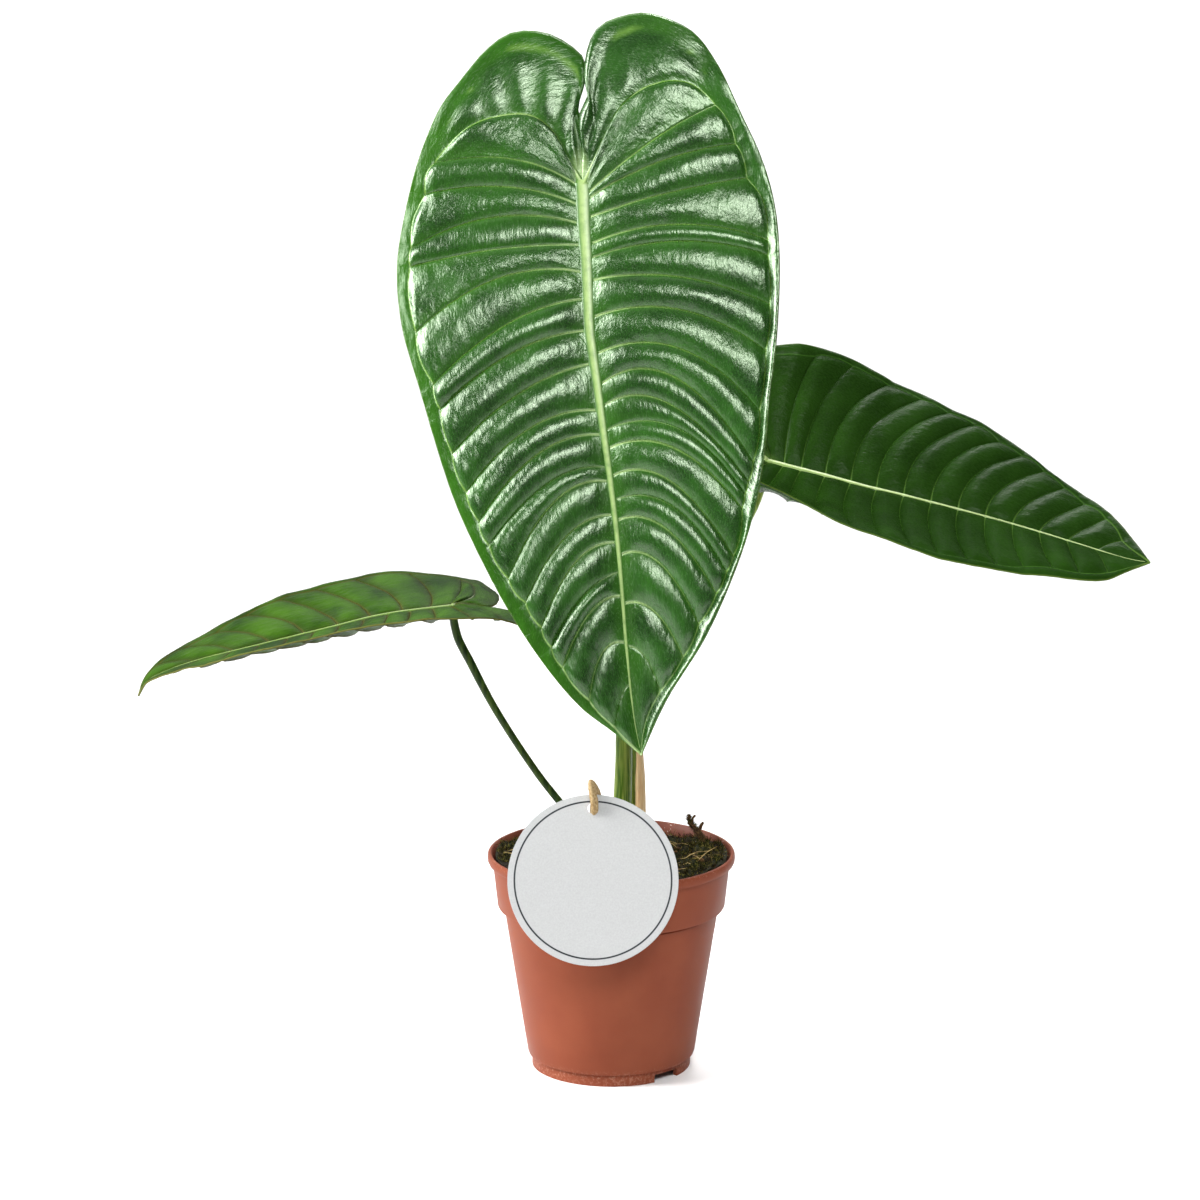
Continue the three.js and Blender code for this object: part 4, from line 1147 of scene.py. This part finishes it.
soilTraits = {
    "radius": 56.4,
    "edgeHeight": 97.5,
    "mound": 8.5,
    "moundReach": 52.1,
    "lump": 1.0,
    "rings": 27,
    "ringGap": 2,
    "crumb": 2.0,
    "side": ((55.4, 95.8), (53.2, 82.6), (50.2, 80.8), (39, 7.4)),  # radius and height, downwards
    "topFrom": 97,
    "wallTop": (56.2, 101),  # radius and height where the free space by the wall starts to narrow
    "wallSlope": 0.19,
}


def soilHeight(x, y):
    far = math.hypot(x, y)
    reach = float(smoothStep(0.2, 0.95, far / soilTraits["moundReach"]))
    behind = max(0.0, y / (far + 1))  # heaped up to the rim, except at the back
    mound = soilTraits["mound"] * reach * (1 - 0.85 * behind ** 2)
    lumps = math.sin(0.42 * x + 1.3) * math.sin(0.37 * y - 0.4)
    lumps += 0.6 * math.sin(0.71 * x - 0.5 * y + 2.1)
    return soilTraits["edgeHeight"] + mound + soilTraits["lump"] * lumps


def soilTop(x, y):
    crumbs = noise.noise((x * 0.3, y * 0.3, 1.7)) + 0.6 * noise.noise((x * 0.8, y * 0.8, 5.2))
    fade = 1 - float(smoothStep(47, 56, math.hypot(x, y)))
    return soilHeight(x, y) + soilTraits["crumb"] * crumbs * (0.35 + 0.65 * fade)


deselectAll()
bpy.ops.mesh.primitive_circle_add(vertices=128, radius=soilTraits["radius"] * mm, fill_type="NGON",
                                  location=(0, 0, soilTraits["edgeHeight"] * mm))
soil = bpy.context.object
soil.name = "soilBed"
settle(soil)
bpy.ops.object.mode_set(mode="EDIT")
bpy.ops.mesh.select_all(action="SELECT")
for ring in range(soilTraits["rings"]):
    bpy.ops.mesh.inset(thickness=soilTraits["ringGap"] * mm)
bpy.ops.mesh.poke()
selectIn(soil, lambda edge: edge.is_boundary, "EDGE")
state = (soilTraits["radius"], soilTraits["edgeHeight"])
for radius, ringHeight in soilTraits["side"]:
    state = ringTo(state, radius, ringHeight)
bpy.ops.mesh.edge_face_add()
bpy.ops.mesh.select_all(action="SELECT")
bpy.ops.mesh.normals_make_consistent(inside=False)
bpy.ops.object.mode_set(mode="OBJECT")
finishWith(soil, "SUBSURF", levels=1, render_levels=1, subdivision_type="SIMPLE")
wallRadius, wallHeight = soilTraits["wallTop"]
for vertex in soil.data.vertices:
    if vertex.co.z > soilTraits["topFrom"] * mm:
        vertex.co.z = soilTop(vertex.co.x / mm, vertex.co.y / mm) * mm
        room = wallRadius - soilTraits["wallSlope"] * max(0, wallHeight - vertex.co.z / mm)
        room = room * mm / max(vertex.co.xy.length, mm)
        if room < 1:  # stays inside the pot's wall
            vertex.co.x *= room
            vertex.co.y *= room
smoothBy(soil, 60)

# moist peat: nearly black crumbs, with brown fibres and a green film of moss
peat, tree, shader, coords = newMaterial("moist peat with moss film", {
    "Specular IOR Level": 0.25, "Roughness": 0.9})
place = coords.outputs["Object"]
crumbs = addNode(tree, "ShaderNodeTexNoise", {"Scale": 1 / 0.0013, "Detail": 5}, {"Vector": place})
patches = addNode(tree, "ShaderNodeTexNoise", {"Scale": 1 / 0.011, "Detail": 3}, {"Vector": place})
colour = tint(tree, "#0e0a05", "#2a2011", crumbs.outputs[0], 0.35, 0.65)
colour = tint(tree, colour, "#20260c", patches.outputs[0], 0.42, 0.62, 0, 0.8)
tree.links.new(colour, shader.inputs["Base Color"])
bump = addNode(tree, "ShaderNodeBump", {"Strength": 0.9, "Distance": 0.0012},
               {"Height": crumbs.outputs[0]})
tree.links.new(bump.outputs[0], shader.inputs["Normal"])
dress(soil, "soil", peat)
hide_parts("soil")


def scattered(name, sources, places):
    copies = []
    for k, place in enumerate(places):
        copy = sources[k % len(sources)].copy()
        copy.data = copy.data.copy()
        copy.data.transform(place)
        scene.collection.objects.link(copy)
        copies.append(copy)
    for source in sources:
        bpy.data.objects.remove(source)
    return joined(name, copies)


mossTraits = {  # count, size, spread, sink and lean are what onSoil reads
    "count": 3000,
    "size": (0.5, 1.15),
    "spread": 55.4,
    "sink": 0.3,
    "lean": 0.5,
    "leaflets": 7,
    "leafletLength": (1.6, 4.6),
    "leafletLean": (0.3, 1.35),
    "bareRound": (3.5, 3, 12),  # no moss on the crown: its place and radius
}


def mossTuft(seed):  # a few narrow leaves that bend out from one foot
    rng = random.Random(seed)
    points, faces = [], []
    for k in range(mossTraits["leaflets"]):
        turn = 2 * math.pi * k / mossTraits["leaflets"] + rng.uniform(-0.3, 0.3)
        lean = rng.uniform(*mossTraits["leafletLean"])
        size = rng.uniform(*mossTraits["leafletLength"])
        way = np.array([math.cos(turn), math.sin(turn), 0])
        over = np.array([-way[1], way[0], 0])
        for share, wide in ((0, 0.12), (0.5, 0.15), (1, 0.03)):
            out = size * share * math.sin(lean) * (0.6 + 0.5 * share)
            up = size * share * math.cos(lean) * (1.15 - 0.25 * share)
            centre = way * out + np.array([0, 0, up])
            points += [centre - over * wide, centre + over * wide]
        first = len(points) - 6
        faces += [(first, first + 1, first + 3, first + 2),
                  (first + 2, first + 3, first + 5, first + 4)]
    return meshPiece("tuft", points, faces)


def onSoil(rng, traits):  # a random place, tilt and size on the soil for one copy
    size = rng.uniform(*traits["size"])
    angle = rng.uniform(0, 2 * math.pi)
    far = traits["spread"] * math.sqrt(rng.uniform(0, 1))
    x, y = far * math.cos(angle), far * math.sin(angle)
    turn = Matrix.Rotation(rng.uniform(0, 6.28), 4, "Z")
    outwards = Vector((math.cos(angle), math.sin(angle), 0))
    tip = Matrix.Rotation(rng.gauss(0, traits["lean"]), 4, outwards)
    grow = Matrix.Scale(size, 4)
    put = Matrix.Translation((x * mm, y * mm, (soilTop(x, y) - traits["sink"]) * mm))
    return put @ tip @ turn @ grow


rng = random.Random(21)
tufts = [mossTuft(40 + k) for k in range(5)]
places = []
bareX, bareY, bareRadius = mossTraits["bareRound"]
while len(places) < mossTraits["count"]:
    place = onSoil(rng, mossTraits)
    x, y = place.translation.x / mm, place.translation.y / mm
    mossy = noise.noise((x * 0.06, y * 0.06, 8.0)) > -0.35
    if mossy and math.hypot(x - bareX, y - bareY) > bareRadius:
        places.append(place)
moss = scattered("mossTufts", tufts, places)
# living and half-dry moss: soft matt leaflets from olive to straw brown, with pale specks that are
# painted highlights
mossGreen, tree, shader, coords = newMaterial("olive and brown moss leaflets", {
    "Specular IOR Level": 0.05, "Roughness": 0.85})
patches = addNode(tree, "ShaderNodeTexNoise", {"Scale": 1 / 0.006, "Detail": 3},
                  {"Vector": coords.outputs["Object"]})
fine = addNode(tree, "ShaderNodeTexNoise", {"Scale": 1 / 0.0015, "Detail": 1},
               {"Vector": coords.outputs["Object"]})
colour = tint(tree, "#1e240a", "#24190b", patches.outputs[0], 0.4, 0.6)
# painted highlight: pale specks scattered over the leaflets
colour = tint(tree, colour, "#7d763a", fine.outputs[0], 0.53, 0.75)
tree.links.new(colour, shader.inputs["Base Color"])
dress(moss, "soil", mossGreen)

# dry straws: thin bent tubes, modelled once and copied
strawTraits = {
    "count": 90, "size": (0.35, 0.95), "spread": 47, "sink": -1.2, "lean": 0.3,
    "radii": (0.14, 0.24, 0.2, 0.07),
}
straws = []
for k in range(4):
    bend = random.Random(60 + k)
    points = [(0, 0, 0), (5, bend.uniform(-1.5, 1.5), 1.6), (11, bend.uniform(-2, 2), 1.2),
              (17, bend.uniform(-3, 3), bend.uniform(-0.5, 2.5))]
    straws.append(tubeAlong("straw", points, strawTraits["radii"], 1))
places = [onSoil(rng, strawTraits) for k in range(strawTraits["count"])]
straw = scattered("dryStraws", straws, places)
# dry straw: split grass stems, bleached as they dried, with a slight satin and browner fibres
dryStraw = grainyMaterial("dry straw", {
    "specular": 0.3, "roughness": 0.6, "grain": 0.004, "detail": 3, "turns": (0.35, 0.65),
    "dark": "#6b4f26", "light": "#c2a768"})
dress(straw, "soil", dryStraw)

# perlite: knobbly round bits
perliteTraits = {
    "count": 16, "size": (0.45, 1.0), "spread": 50, "sink": -0.3, "lean": 0.8,
    "radius": 1.1,
}
bits = []
for k in range(3):
    deselectAll()
    bpy.ops.mesh.primitive_ico_sphere_add(subdivisions=2, radius=perliteTraits["radius"] * mm)
    bit = bpy.context.object
    for vertex in bit.data.vertices:
        vertex.co *= 1 + 0.35 * noise.noise(vertex.co / mm * 1.2 + Vector((k * 5, 0, 0)))
    bits.append(bit)
places = [onSoil(rng, perliteTraits) for k in range(perliteTraits["count"])]
perlite = scattered("perliteBits", bits, places)
# expanded perlite: volcanic glass puffed up by heat, so it is white, dull and full of pores,
# really about 0.2 mm and drawn at 0.6 mm so that they show
whiteFoam = grainyMaterial("expanded perlite", {
    "specular": 0.3, "roughness": 0.85, "grain": 0.0006, "detail": 2, "turns": (0.3, 0.7),
    "dark": "#b9b2a4", "light": "#efece4"})
dress(perlite, "soil", whiteFoam)

# bark chips: small blocks with worn, uneven sides
chipTraits = {
    "count": 30, "size": (0.5, 1.3), "spread": 50, "sink": 0, "lean": 0.5,
    "block": (4.2, 2.2, 1.1),
}
chips = []
for k in range(4):
    deselectAll()
    bpy.ops.mesh.primitive_cube_add(size=mm, scale=chipTraits["block"])
    chip = bpy.context.object
    settle(chip)
    finishWith(chip, "BEVEL", width=0.3 * mm, segments=1)
    for vertex in chip.data.vertices:
        place = vertex.co / mm * 0.5
        vertex.co += Vector([0.9 * mm * noise.noise(place + Vector((k * 4 + axis, 0, axis)))
                             for axis in range(3)])
    chips.append(chip)
places = [onSoil(rng, chipTraits) for k in range(chipTraits["count"])]
bark = scattered("barkChips", chips, places)
# composted bark: chipped and half rotted, so it is dull, in dark and rusty brown layers
barkBrown = grainyMaterial("composted bark", {
    "specular": 0.25, "roughness": 0.85, "grain": 0.0018, "detail": 4, "turns": (0.3, 0.7),
    "dark": "#2a1c10", "light": "#6b4a2a"})
dress(bark, "soil", barkBrown)
print("soil bed, moss, straws, perlite and bark are made")

# Crown, sheaths and the dry bract

crownTraits = {"x": 3.5, "y": 3, "radius": 13, "flatten": 0.8, "top": 101, "bottom": 82}

# dry sheath: papery brown skin, matt, with fibres 30 mm long along it, drawn 0.9 mm wide to show
drySheath, tree, shader, coords = newMaterial("dry papery sheath", {"Specular IOR Level": 0.3})
stretch = addNode(tree, "ShaderNodeMapping", {"Scale": (1 / 0.0009, 1 / 0.0009, 1 / 0.03)},
                  {"Vector": coords.outputs["Object"]})
fibres = addNode(tree, "ShaderNodeTexNoise", {"Scale": 1, "Detail": 4},
                 {"Vector": stretch.outputs[0]})
stains = addNode(tree, "ShaderNodeTexNoise", {"Scale": 1 / 0.014, "Detail": 3},
                 {"Vector": coords.outputs["Object"]})
colour = tint(tree, "#ad8a60", "#cab288", fibres.outputs[0], 0.3, 0.7)
colour = tint(tree, colour, "#8a6238", stains.outputs[0], 0.5, 0.75, 0, 0.6)
tree.links.new(colour, shader.inputs["Base Color"])
share = addNode(tree, "ShaderNodeMapRange", {1: 0.3, 2: 0.7, 3: 0.5, 4: 0.75},
                {0: fibres.outputs[0]}).outputs[0]
tree.links.new(share, shader.inputs["Roughness"])
bump = addNode(tree, "ShaderNodeBump", {"Strength": 0.5, "Distance": 0.0004},
               {"Height": fibres.outputs[0]})
tree.links.new(bump.outputs[0], shader.inputs["Normal"])

deselectAll()
bpy.ops.mesh.primitive_uv_sphere_add(segments=48, ring_count=28, radius=1)
crown = bpy.context.object
crown.name = "crownStem"
crownMiddle = (crownTraits["top"] + crownTraits["bottom"]) / 2
crownHalf = (crownTraits["top"] - crownTraits["bottom"]) / 2
for vertex in crown.data.vertices:
    x, y, z = vertex.co
    up = crownMiddle + crownHalf * z
    wide = crownTraits["radius"] * (1 - 0.25 * max(0, z))
    wide *= 1 + 0.06 * math.sin(9 * math.atan2(y, x))  # nine old leaf scars round it
    wide *= 1 + 0.05 * noise.noise((x * 3, y * 3, z * 3))
    vertex.co = (mm * (crownTraits["x"] + x * wide),
                 mm * (crownTraits["y"] + y * wide * crownTraits["flatten"]), mm * up)
smoothBy(crown, 60)
dress(crown, "dry_sheath", drySheath)
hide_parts("crown")


def sheathAround(name, points, widths, arc, wall):
    # an open, rolled sheath along a line; arc is half the angle it wraps and the way it faces
    line = lineThrough(points, 12)
    shares = lengthShares(line)
    deselectAll()
    bpy.ops.mesh.primitive_grid_add(x_subdivisions=20, y_subdivisions=46, size=1)
    piece = bpy.context.object
    piece.name = name
    facing = math.radians(arc[1])
    for vertex in piece.data.vertices:
        share = vertex.co.y + 0.5
        across = vertex.co.x * 2
        middle = placeOn(line, shares, share)
        radius = float(between(widths, share))
        spread = math.radians(arc[0]) * float(between((1, 0.95, 0.8, 0.6), share))
        turn = facing + across * spread
        ruffle = 0.12 * math.sin(across * 9 + share * 7)
        ruffle += 0.25 * noise.noise((across * 2, share * 9, arc[1]))
        out = radius + ruffle * radius * 0.5
        vertex.co = Vector((middle[0] + out * math.cos(turn), middle[1] + out * math.sin(turn),
                            middle[2])) * mm
    finishWith(piece, "SOLIDIFY", thickness=wall * mm, offset=0)
    smoothBy(piece, 70)
    return piece


bractTraits = {
    "points": [(14.4, -3, 86), (14.5, -3, 112), (14.2, -3, 133), (13.7, -2.5, 156),
               (13, -2, 179.6)],
    "widths": (2.4, 2.4, 2.3, 2.1, 1.3, 0.35),
    "arc": (125, -95),
    "wall": 0.45,
}
bract = sheathAround("dryBract", **bractTraits)
dress(bract, "dry_sheath", drySheath)
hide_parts("cataphyll")

oldSheathTraits = [
    {"points": [(4, 1.5, 96), (4.6, 1.8, 106), (5, 2.2, 117)],
     "widths": (6.2, 5.6, 5.1, 4.9), "arc": (110, 60), "wall": 0.4},
    {"points": [(-4, 3.2, 96), (-7, 3.2, 104), (-13, 3.5, 113)],
     "widths": (4.2, 3.7, 3.3, 3), "arc": (100, 130), "wall": 0.4},
    {"points": [(10.5, 9.6, 95), (10.8, 9.9, 107), (11, 10, 121)],
     "widths": (4.4, 3.8, 3.3, 3.1), "arc": (105, 20), "wall": 0.4},
]
sheaths = [sheathAround("sheath", **traits) for traits in oldSheathTraits]
sheath = joined("oldSheaths", sheaths)
dress(sheath, "dry_sheath", drySheath)
print("crown and sheaths are made")

# Mossy twig

twigTraits = {
    "stem": [(47, 24, 90), (45.8, 25, 103), (41.5, 25, 111), (38.4, 25, 114.6), (38.2, 25, 118.4)],
    "stemRadii": (2.8, 2.7, 2.0, 1.3, 0.8),
    "fork": [(39.3, 25, 113.8), (39.9, 25.6, 116.2), (41.2, 25.6, 117.8)],
    "forkRadii": (1.0, 0.8, 0.5),
    "stub": [(41.8, 25, 110), (43.3, 25, 111.2), (44, 25, 112.6), (45, 24.8, 114.4)],
    "stubRadii": (1.3, 1.0, 0.8, 0.6),
    "mossCount": 260,
    "mossSize": (0.25, 0.6),
    "mossOut": 1.1,
}
parts = [
    tubeAlong("stem", twigTraits["stem"], twigTraits["stemRadii"], 5),
    tubeAlong("fork", twigTraits["fork"], twigTraits["forkRadii"], 4),
    tubeAlong("stub", twigTraits["stub"], twigTraits["stubRadii"], 4),
]
twig = joined("mossyTwig", parts)
for vertex in twig.data.vertices:
    vertex.co += vertex.normal * (0.35 * mm * noise.noise(vertex.co / mm * 0.7))
# bark of a dead twig: dry, cracked and dull, its grain raised by rot
barkDark = grainyMaterial("dead mossy twig bark", {
    "specular": 0.2, "roughness": 0.9, "grain": 0.0012, "detail": 4, "turns": (0.35, 0.65),
    "dark": "#2b1d10", "light": "#5f452a", "relief": 0.8, "depth": 0.0008})
dress(twig, "twig", barkDark)
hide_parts("twig")
line = lineThrough(twigTraits["stem"], 12)
places = []
for k in range(twigTraits["mossCount"]):  # most of it low on the stem
    root = placeOn(line, lengthShares(line), 0.35 + 0.6 * rng.uniform(0, 1) ** 1.6)
    way = Vector((rng.gauss(0, 1), rng.gauss(0, 1), rng.gauss(0.2, 1))).normalized()
    turn = way.to_track_quat("Z", "Y").to_matrix().to_4x4()
    grow = Matrix.Scale(rng.uniform(*twigTraits["mossSize"]), 4)
    put = Matrix.Translation((Vector(root) + way * twigTraits["mossOut"]) * mm)
    places.append(put @ turn @ grow)
twigMoss = scattered("twigMoss", [mossTuft(80), mossTuft(81)], places)
dress(twigMoss, "twig", mossGreen)
print("twig is made")

# Card and tie

cardTraits = {
    "radius": 40.4,
    "thickness": 0.8,
    "holeRadius": 2.6,
    "holeUp": 34,
    "lean": 16.4,
    "x": -8.8,
    "z": 109.6,
    "restOut": 60.3,  # its back face is 0.3 mm off the pot's lip at this height
    "restHeight": 104.5,
    "ringRadius": 37.1,
    "ringWidth": 0.8,
}


def onCard(right, up, out):  # a place on the leaning card, from its centre, and out of its front
    lean = math.radians(cardTraits["lean"])
    y = -cardTraits["restOut"] - cardTraits["thickness"] / 2 / math.cos(lean)
    y -= (cardTraits["restHeight"] - cardTraits["z"]) * math.tan(lean)
    return Vector((cardTraits["x"] + right,
                   y + up * math.sin(lean) - out * math.cos(lean),
                   cardTraits["z"] + up * math.cos(lean) + out * math.sin(lean)))


cardTurn = (math.radians(90 - cardTraits["lean"]), 0, 0)
deselectAll()
bpy.ops.mesh.primitive_cylinder_add(vertices=192, radius=cardTraits["radius"] * mm,
                                    depth=cardTraits["thickness"] * mm,
                                    location=onCard(0, 0, 0) * mm, rotation=cardTurn)
card = bpy.context.object
card.name = "roundCard"
settle(card)
deselectAll()
bpy.ops.mesh.primitive_cylinder_add(vertices=48, radius=cardTraits["holeRadius"] * mm,
                                    depth=5 * mm, rotation=cardTurn,
                                    location=onCard(0, cardTraits["holeUp"], 0) * mm)
punch = bpy.context.object
settle(punch)
finishWith(card, "BOOLEAN", operation="DIFFERENCE", object=punch, solver="EXACT")
bpy.data.objects.remove(punch)
finishWith(card, "BEVEL", width=0.12 * mm, segments=2, limit_method="ANGLE",
           angle_limit=math.radians(50))
smoothBy(card, 40)
for face in card.data.polygons:
    face.use_smooth = face.area < 1e-5


def cardMaterial(name, printed):
    # uncoated board, pressed from pulp: greyish white and matt, with a fine tooth, really about
    # 0.1 mm and drawn at 0.8 mm so that it shows
    material, tree, shader, coords = newMaterial(name, {
        "Specular IOR Level": 0.25, "Roughness": 0.7})
    place = coords.outputs["Object"]
    tooth = addNode(tree, "ShaderNodeTexNoise", {"Scale": 1 / 0.0008, "Detail": 3},
                    {"Vector": place})
    colour = tint(tree, "#a0a1a1", "#a8a9a9", tooth.outputs[0], 0.3, 0.7)
    if printed:  # one thin ring, printed in dark grey
        away = addNode(tree, "ShaderNodeVectorMath", links={0: place}, operation="DISTANCE")
        away.inputs[1].default_value = onCard(0, 0, cardTraits["thickness"] / 2) * mm
        offset = addNode(tree, "ShaderNodeMath", {1: cardTraits["ringRadius"] * mm},
                         {0: away.outputs["Value"]}, operation="SUBTRACT")
        size = addNode(tree, "ShaderNodeMath", links={0: offset.outputs[0]}, operation="ABSOLUTE")
        halfLine = cardTraits["ringWidth"] / 2 * mm
        colour = tint(tree, colour, "#22262a", size.outputs[0],
                      halfLine * 0.8, halfLine * 1.2, 1, 0)
    tree.links.new(colour, shader.inputs["Base Color"])
    bump = addNode(tree, "ShaderNodeBump", {"Strength": 0.15, "Distance": 0.0002},
                   {"Height": tooth.outputs[0]})
    tree.links.new(bump.outputs[0], shader.inputs["Normal"])
    return material


dress(card, "card", cardMaterial("uncoated board", False),
      cardMaterial("uncoated board printed with a ring", True))
cardFront = (onCard(0, 0, 1) - onCard(0, 0, 0)).normalized()
for face in card.data.polygons:
    face.material_index = 1 if face.normal.dot(cardFront) > 0.9 else 0
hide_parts("tag")

tieTraits = {
    "knot": (4.9, 1.8, 120),
    "loop": 5.9,
    "strands": ((-0.4, 1.3), (1.0, 1.0)),  # how far each lies to the right, and its thickness
    "flatness": 1.4,
}
kx, ky, kz = tieTraits["knot"]
loop = tieTraits["loop"]
tiePath = [
    (kx + 1, ky + loop, kz), (kx + loop * 0.75, ky + loop * 0.7, kz), (kx + loop, ky - 1, kz),
    (kx + loop * 0.4, ky - 15, kz - 1), (kx - 6, ky - 34, kz), tuple(onCard(2.2, 38, -3.4)),
    tuple(onCard(0.4, 42.6, -2.2)), tuple(onCard(-0.8, 44.6, 0.2)), tuple(onCard(-0.6, 41.4, 2.2)),
    tuple(onCard(0.1, 37.6, 1.9)), tuple(onCard(0.5, 34.4, 0.4)), tuple(onCard(0.5, 33, -3)),
    (kx - 12, ky - 30, kz - 3), (kx - loop * 0.9, ky - 14, kz - 2), (kx - loop, ky, kz),
    (kx - loop * 0.7, ky + loop * 0.72, kz), (kx - 1, ky + loop, kz),
]
strands = []
for k, (drift, thick) in enumerate(tieTraits["strands"]):
    wobble = random.Random(90 + k)
    path = [(x + (wobble.uniform(-0.3, 0.3) + drift), y, z + wobble.uniform(-0.3, 0.3))
            for x, y, z in tiePath]
    radii = (thick, thick, thick * 0.9, thick * 1.35, thick)
    strands.append(tubeAlong("strand", path, radii, 3, tieTraits["flatness"]))
tie = joined("raffiaTie", strands)
for vertex in tie.data.vertices:
    vertex.co += vertex.normal * (0.22 * mm * noise.noise(vertex.co / mm * 1.1))
# raffia: a flat split leaf strip, dry and fibrous, twisted a little as it was tied; its fibres
# are finer than 0.5 mm and are drawn at 1.1 mm so that they show
raffia = grainyMaterial("dry raffia", {
    "specular": 0.3, "roughness": 0.75, "grain": 0.0011, "detail": 4, "turns": (0.3, 0.7),
    "dark": "#7a5e37", "light": "#ab966e", "relief": 0.7, "depth": 0.0005})
dress(tie, "twine", raffia)
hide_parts("tie")
print("card and tie are made")
